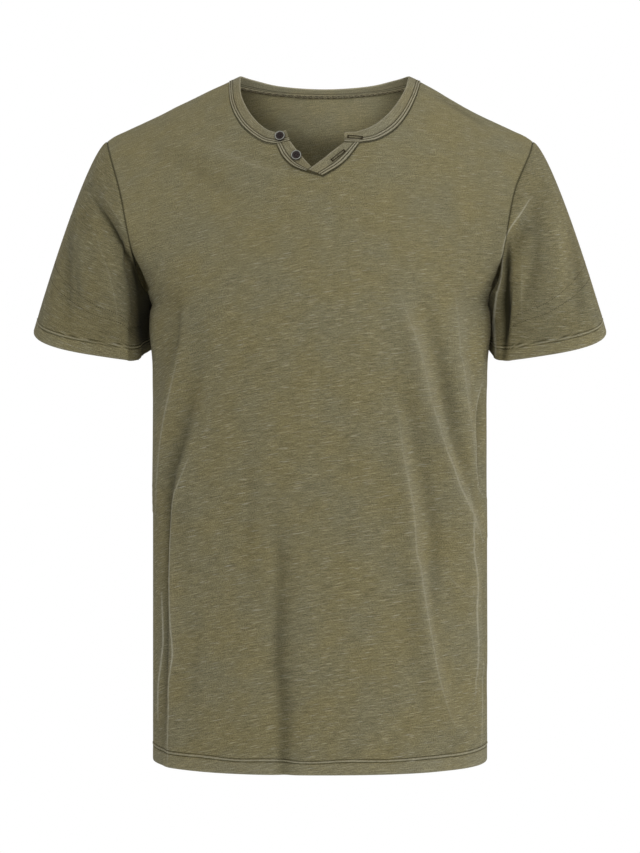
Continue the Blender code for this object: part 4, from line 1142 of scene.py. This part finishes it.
def ladder(allowance, material):
    """The overlocking on the seam allowance: short dark stitches side by side across it, and its edges."""
    outer, normals = allowance.outer, allowance.normals
    low, high = outer[-2], outer[1]
    run = run_of(low)
    count = int(run[-1] / LADDER_PITCH)
    paths = []
    for place in np.linspace(0, 1, count):
        bottom, lift = (along(row, [place], run)[0] for row in (low, normals[1]))
        top = along(high, [min(place + LADDER_SLANT / count, 1)])[0]
        paths.append((np.array([bottom, top]) + lift * LADDER_SIT, np.array([lift, lift])))
    for row in (1, -2):
        for part in np.array_split(np.arange(outer.shape[1]), int(run[-1] / LADDER_RUN)):
            paths.append((outer[row, part] + normals[row, part] * LADDER_SIT, normals[row, part]))
    return threads("neck_overlock", paths, ONE_THREAD, LADDER_SHARE, LADDER_RADIUS, material)


def buttonhole(name, start, end, width, lift, material):
    """A worked buttonhole: satin stitches side by side round a slit, with a bar at each end."""
    start, end = np.array(start), np.array(end)
    way = unit(end - start)
    side = np.array([-way[1], way[0]]) * width
    count = int(np.linalg.norm(end - start) / SATIN_PITCH)
    stitches = []
    for i in range(count):
        middle = start + (end - start) * (i + 0.5) / count
        stitches += [(middle + hand * SLIT * side, middle + hand * SATIN_OUT * side) for hand in (-1, 1)]
    for end_middle in (start, end):
        for place in np.linspace(-1, 1, int(width / SATIN_PITCH) + 1):
            middle = end_middle + BAR_SPREAD * SATIN_OUT * place * side
            stitches.append((middle - way * BAR_LENGTH / 2, middle + way * BAR_LENGTH / 2))
    plans = np.array(stitches)
    normals = surface_normal("front", plans)
    paths = zip(on_body("front", plans) + normals * lift, normals)
    threads(name, paths, ONE_THREAD, 1.0, SATIN_RADIUS, material)


# ---------------------------------------------------------------- buttons
def turned(profile, frame, sides):
    """Corners and faces of a closed turned shape from rows of (radius, height)."""
    seat, across, upward, normal = frame
    turn = np.linspace(0, 2 * np.pi, sides, endpoint=False)[:, None]
    around = np.cos(turn) * across + np.sin(turn) * upward
    corners = np.vstack([seat + radius * around + height * normal for radius, height in profile])
    *walls, bottom, top = tube_faces(len(profile), sides)
    return corners, [face[1::-1] + face[:1:-1] for face in walls] + [bottom[::-1], top[::-1]]


def faced_out(data):
    """Turns all faces of a closed mesh outward."""
    mesh = bmesh.new()
    mesh.from_mesh(data)
    bmesh.ops.recalc_face_normals(mesh, faces=mesh.faces)
    mesh.to_mesh(data)
    mesh.free()


def drill(thing, middle, axes):
    """Cuts one of a button's holes."""
    profile = ((BUTTON_HOLE, 0), (BUTTON_HOLE, DRILL))
    cutter = plain_object("hole", *turned(profile, (middle, *axes), HOLE_SIDES))
    faced_out(cutter.data)
    cut = thing.modifiers.new("hole", "BOOLEAN")
    cut.operation = "DIFFERENCE"
    cut.object = cutter
    bpy.context.view_layer.objects.active = thing
    bpy.ops.object.modifier_apply(modifier=cut.name)
    bpy.data.objects.remove(cutter, do_unlink=True)


def button(name, x, z, tilt, materials):
    """A round button with a raised rim, a dished middle with four holes, and its thread."""
    plan = np.array([x, z])
    normal = surface_normal("front", plan)
    across = unit(np.cross(normal, (0, 0, 1.0)))
    upward = np.cross(across, normal)
    seat = on_body("front", plan) + normal * BUTTON_SEAT
    frame = (seat, across, upward, normal)
    disc = garment_object(name + "_disc", *turned(BUTTON_PROFILE, frame, BUTTON_SIDES), materials["button"],
                          "button", BUTTON_SHARP)
    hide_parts(name)
    faced_out(disc.data)
    aside = np.cos(tilt) * across + np.sin(tilt) * upward
    above = np.cos(tilt) * upward - np.sin(tilt) * across
    holes = [seat + BUTTON_HOLE_OUT * (i * aside + j * above) for i, j in SQUARE]
    for hole in holes:
        drill(disc, hole - BELOW_SEAT * normal, frame[1:])
    smoothed(disc.data, BUTTON_SHARP)
    out = np.array([vertex.co[:] for vertex in disc.data.vertices]) / METRES - seat
    radius = np.linalg.norm(out - np.outer(out @ normal, normal), axis=1)
    rim = smooth_step(*RIM_INNER, radius) * (1 - smooth_step(*RIM_OUTER, radius)) * (out @ normal > RIM_LOW)
    set_mark(disc, "rim", layers(rim, 0, 0))
    paths = []
    for first, second, beside_it in ((0, 1, above), (3, 2, above), (0, 3, aside), (1, 2, aside)):
        for shift in (-THREAD_SHIFT, THREAD_SHIFT):
            ends = np.array([holes[first], holes[second]]) + normal * THREAD_HEIGHT + shift * beside_it
            middle = ends.mean(axis=0) + normal * THREAD_BOW
            down = normal * THREAD_DOWN
            line = spline([ends[0] - down, ends[0], middle, ends[1], ends[1] - down])
            paths.append((line, np.tile(normal, (len(line), 1))))
    threads(name + "_thread", paths, ONE_THREAD, 1.0, BUTTON_THREAD, materials["button_thread"])
    garment_object(name + "_shank", *turned(SHANK_PROFILE, frame, SHANK_SIDES), materials["button_thread"],
                   "thread")


# ---------------------------------------------------------------- materials
class Surface:
    """A material whose nodes are added one by one."""

    def __init__(self, name, roughness, specular, sheen=0.0):
        self.material = bpy.data.materials.new(name)
        self.material.use_nodes = True
        self.tree = self.material.node_tree
        self.shader = self.tree.nodes["Principled BSDF"]
        self.fill(self.shader, Roughness=roughness, Specular_IOR_Level=specular, Sheen_Weight=sheen,
                  Sheen_Roughness=0.6)

    def put(self, socket, value):
        """Sets an input to a number or a colour, or links it to another node's output."""
        if isinstance(value, bpy.types.NodeSocket):
            self.tree.links.new(value, socket)
        else:
            socket.default_value = (*value, 1) if isinstance(value, tuple) else value

    def fill(self, node, **inputs):
        for key, value in inputs.items():
            self.put(node.inputs[key.replace("_", " ")], value)
        return node

    def add(self, kind, settings=None, **inputs):
        """A node with settings, and inputs that are numbers or other nodes' outputs."""
        node = self.tree.nodes.new(kind)
        for key, value in (settings or {}).items():
            setattr(node, key, value)
        return self.fill(node, **inputs)

    def math(self, operation, first, *others):
        """Numbers joined one after another by an operation."""
        for other in others or (0.0,):
            node = self.add("ShaderNodeMath", {"operation": operation})
            self.put(node.inputs[0], first)
            self.put(node.inputs[1], other)
            first = node.outputs[0]
        return first

    def times(self, *values):
        return self.math("MULTIPLY", *values)

    def plus(self, *values):
        return self.math("ADD", *values)

    def minus(self, *values):
        return self.math("SUBTRACT", *values)

    def blend(self, share, first, second):
        """A mix of two colours."""
        node = self.add("ShaderNodeMix", {"data_type": "RGBA"})
        self.put(node.inputs["Factor"], share)
        self.put(node.inputs["A"], first)
        self.put(node.inputs["B"], second)
        return node.outputs["Result"]

    def scale(self, colour, amount):
        """A colour made lighter or darker by a varying amount."""
        node = self.add("ShaderNodeVectorMath", {"operation": "SCALE"}, Scale=amount)
        self.put(node.inputs[0], colour)
        return node.outputs[0]

    def ramp(self, value, low, high, to_low=0.0, to_high=1.0):
        """A value read from one range into another, with a soft start and end."""
        node = self.add("ShaderNodeMapRange", {"interpolation_type": "SMOOTHSTEP"}, Value=value,
                        From_Min=low, From_Max=high, To_Min=to_low, To_Max=to_high)
        return node.outputs["Result"]

    def mark(self, name):
        """The three numbers of a mark on the mesh."""
        node = self.add("ShaderNodeAttribute", {"attribute_name": name, "attribute_type": "GEOMETRY"})
        return self.add("ShaderNodeSeparateXYZ", None, Vector=node.outputs["Vector"]).outputs[:3]

    def join(self, x, y, z=0.0):
        return self.add("ShaderNodeCombineXYZ", None, X=x, Y=y, Z=z).outputs[0]

    def place(self):
        return self.add("ShaderNodeTexCoord").outputs["Object"]

    def noise(self, vector, scale, detail=2.0, roughness=0.5):
        node = self.add("ShaderNodeTexNoise", None, Vector=vector, Scale=scale, Detail=detail,
                        Roughness=roughness)
        return node.outputs["Fac"]

    def bump(self, height, strength, distance):
        """Relief of a varying height, in metres at a height of 1."""
        node = self.add("ShaderNodeBump", None, Strength=strength, Distance=distance, Height=height)
        self.fill(self.shader, Normal=node.outputs["Normal"])


def jersey_surface(name, tones, strength):
    """Olive slub jersey: uneven courses with pale and dark streaks, patchy dye, and worn creases, hems and
    edges, with painted shade in creases, seams and stitch grooves, painted highlights on crease ridges and
    painted light on the inner faces.
    """
    cloth = Surface(name, 0.9, 0.1, sheen=0.03)
    across, up, inside = cloth.mark("cloth")
    crest_away, crest_pale, worn = cloth.mark("wear_and_painted_shading")
    flat = cloth.join(across, up)

    def streaks(length, pitch, seed):
        """Noise drawn out along the courses."""
        place = cloth.join(cloth.math("DIVIDE", across, length), cloth.math("DIVIDE", up, pitch), seed)
        return cloth.noise(place, 1.0, 1.5, 0.6)

    patches = cloth.noise(flat, 1 / 55, 3.0, 0.55)
    blotches = cloth.noise(flat, 1 / 11, 3.0, 0.6)
    grain = cloth.noise(flat, 1 / 1.1, 1.5, 0.7)
    short, long = streaks(6.0, 0.85, 3.0), streaks(20.0, 0.95, 11.0)
    slub, tint = streaks(14.0, 1.1, 23.0), streaks(26.0, 2.2, 31.0)
    lively = cloth.ramp(up, -60.0, 110.0, 0.95 * strength, 0.68 * strength)
    colour = cloth.blend(cloth.ramp(patches, 0.3, 0.7), tones["warm"], tones["grey"])
    colour = cloth.scale(colour, cloth.ramp(blotches, 0.3, 0.7, 0.975, 1.025))
    colour = cloth.scale(colour, cloth.ramp(grain, 0.25, 0.75, 0.62, 1.38))
    # painted light: inner faces are painted lighter and paler by the third number of the cloth mark
    colour = cloth.scale(colour, cloth.ramp(inside, 0.0, 1.0, 1.0, 3.0))
    colour = cloth.blend(cloth.ramp(inside, 0.0, 1.0, 0.0, 0.35), colour, tones["pale_grey"])
    for layer, amount in ((short, 1.0), (long, 1.15)):
        change = cloth.times(cloth.minus(layer, 0.5), cloth.times(lively, amount))
        colour = cloth.scale(colour, cloth.plus(1.0, change))
    pale = cloth.ramp(slub, 0.56, 0.74)
    dark = cloth.ramp(cloth.minus(1.0, slub), 0.58, 0.74)
    thread = cloth.blend(cloth.ramp(tint, 0.4, 0.6), tones["pale"], tones["pale_grey"])
    colour = cloth.blend(cloth.times(pale, 0.85, lively), colour, thread)
    colour = cloth.blend(cloth.times(dark, 0.3, lively), colour, tones["dark"])
    # pale line on each crest: worn pale, partly a painted highlight
    crest = cloth.minus(1.0, cloth.ramp(cloth.math("ABSOLUTE", crest_away), 0.1, 1.3))
    broken = cloth.ramp(cloth.noise(flat, 1 / 3.5, 2.0, 0.6), 0.35, 0.62, 0.45, 1.0)
    colour = cloth.blend(cloth.times(crest, crest_pale, broken, 0.95), colour, tones["worn"])
    # paler where the mark is above 0: the hem's and band's wear, and painted highlight on crease ridges
    broken = cloth.ramp(cloth.noise(flat, 1 / 2.2, 2.0, 0.6), 0.3, 0.65, 0.55, 1.0)
    wear_and_painted_shading = cloth.times(cloth.math("MAXIMUM", worn, 0.0), broken, 0.75)
    colour = cloth.blend(wear_and_painted_shading, colour, tones["worn"])
    # painted shade: seams, stitch grooves, crease troughs and the sleeves darkened towards the seam colour
    painted_shade = cloth.times(cloth.math("MAXIMUM", cloth.times(worn, -1.0), 0.0), 0.95)
    colour = cloth.blend(painted_shade, colour, tones["seam"])
    rough = cloth.ramp(cloth.plus(pale, grain), 0.2, 1.4, 0.95, 0.82)
    cloth.fill(cloth.shader, Base_Color=colour, Roughness=rough)
    courses, wales = (cloth.math("SINE", cloth.times(place, 2 * np.pi / pitch))
                      for place, pitch in ((up, COURSE), (across, WALE)))
    knit = cloth.times(cloth.plus(courses, wales), 0.16)
    height = cloth.plus(cloth.times(pale, 0.9), cloth.times(short, 1.2))
    height = cloth.plus(cloth.minus(height, cloth.times(dark, 0.5)), knit, grain)
    cloth.bump(height, 0.75, 0.00028)
    return cloth.material


def thread_surface(name, dark, light):
    """Sewing thread: twisted, a little uneven in colour."""
    thread = Surface(name, 0.8, 0.12, sheen=0.01)
    place = thread.place()
    thread.fill(thread.shader, Base_Color=thread.blend(thread.noise(place, 900.0, 2.0, 0.6), dark, light))
    thread.bump(thread.noise(place, 3500.0, 2.0, 0.7), 0.5, 0.0001)
    return thread.material


def button_surface():
    """Grey horn-like button, rubbed pale on its rim and grimy in its dish."""
    horn = Surface("button_horn", 0.5, 0.22)
    cloudy = horn.noise(horn.place(), 420.0, 4.0, 0.6)
    worn = horn.ramp(horn.plus(horn.mark("rim")[0], horn.times(cloudy, 0.5)), 0.35, 1.1)
    colour = horn.scale(horn.blend(worn, *HORN_TONES), horn.ramp(cloudy, 0.3, 0.7, 0.8, 1.2))
    horn.fill(horn.shader, Base_Color=colour, Roughness=horn.ramp(cloudy, 0.3, 0.7, 0.32, 0.55))
    horn.bump(cloudy, 0.4, 0.0002)
    return horn.material


def make_materials():
    """Every material of the garment by name."""
    threads_made = {name: thread_surface(label, *tones) for name, label, *tones in THREADS}
    return {
        "jersey": jersey_surface("olive_slub_jersey", JERSEY_TONES, 1.0),
        "binding": jersey_surface("olive_binding", BINDING_TONES, 0.75),
        "button": button_surface(),
        **threads_made,
    }


# ---------------------------------------------------------------- the room
def make_room():
    """Plain pale floor, white surroundings and soft studio light."""
    corners = [(x * FLOOR_HALF, y * FLOOR_HALF, FLOOR_HEIGHT) for x, y in SQUARE]
    floor = plain_object("floor", corners, [(0, 1, 2, 3)])
    pale = Surface("pale_floor", 0.9, 0.1)
    tone = pale.ramp(pale.noise(pale.place(), 3.0), 0.3, 0.7)
    pale.fill(pale.shader, Base_Color=pale.blend(tone, *FLOOR_TONES))
    floor.data.materials.append(pale.material)
    world = bpy.data.worlds.new("studio")
    bpy.context.scene.world = world
    world.use_nodes = True
    nodes, links = world.node_tree.nodes, world.node_tree.links
    seen, lighting = nodes["Background"], nodes.new("ShaderNodeBackground")
    for background, strength in ((seen, 1.0), (lighting, WORLD_LIGHT)):
        background.inputs["Color"].default_value = (1, 1, 1, 1)
        background.inputs["Strength"].default_value = strength
    mix = nodes.new("ShaderNodeMixShader")
    links.new(nodes.new("ShaderNodeLightPath").outputs["Is Camera Ray"], mix.inputs["Fac"])
    links.new(lighting.outputs[0], mix.inputs[1])
    links.new(seen.outputs[0], mix.inputs[2])
    links.new(mix.outputs[0], nodes["World Output"].inputs["Surface"])
    for name, place, target, size, watts in LIGHTS:
        lamp = linked(name, bpy.data.lights.new(name, "AREA"))
        lamp.data.shape = "SQUARE"
        lamp.data.size = size
        lamp.data.energy = watts
        lamp.location = place
        lamp.rotation_euler = (Vector(target) - Vector(place)).to_track_quat("-Z", "Y").to_euler()
    bpy.context.scene.view_settings.view_transform = "Standard"


def make_camera():
    """The photograph's view: level, in front of the garment's middle height."""
    camera = linked("camera", bpy.data.cameras.new("camera"))
    camera.data.sensor_fit = "HORIZONTAL"
    camera.data.sensor_width = SENSOR
    camera.data.lens = SENSOR * CAMERA_AWAY / CAMERA_WIDE
    camera.location = (0, -CAMERA_AWAY, CAMERA_HEIGHT)
    camera.rotation_euler = (np.radians(90), 0, 0)
    bpy.context.scene.camera = camera


def main():
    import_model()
    make_camera()
    materials = make_materials()
    binding, thread = materials["binding"], materials["thread"]
    pieces = {face: panel_shell(face, materials["jersey"]) for face in ("front", "back")}
    for hand, side, front_turn in SLEEVES:
        pieces["sleeve_" + hand] = sleeve_shell(hand, side, front_turn, materials["jersey"])
    pieces["neckband"] = strip_shell("neckband", band_line(SEAM), band_line(EDGE), 0, BAND_COURSES, binding,
                                     BAND_LIGHT)
    for name, *strip in NOTCH_STRIPS:
        pieces[name] = notch_strip(name, *strip, binding)
    allowance = allowance_shell(binding)
    sewing = {}
    for name, piece in pieces.items():
        kind = "_stitches" if piece.above_hem is None else "_hem_stitches"
        sewing[name] = [stitch_rows(name + kind, piece, thread)]
        if name == "neckband":
            sewing[name] += [allowance.thing, ladder(allowance, materials["ladder"])]
    for name, start, end, width, lift in BUTTONHOLES:
        buttonhole(name, start, end, width, lift, thread)
    for name, x, z, tilt in BUTTONS:
        button(name, x, z, tilt, materials)
    for name, piece in pieces.items():
        width, length, area = SHEETS[name]
    make_room()


main()
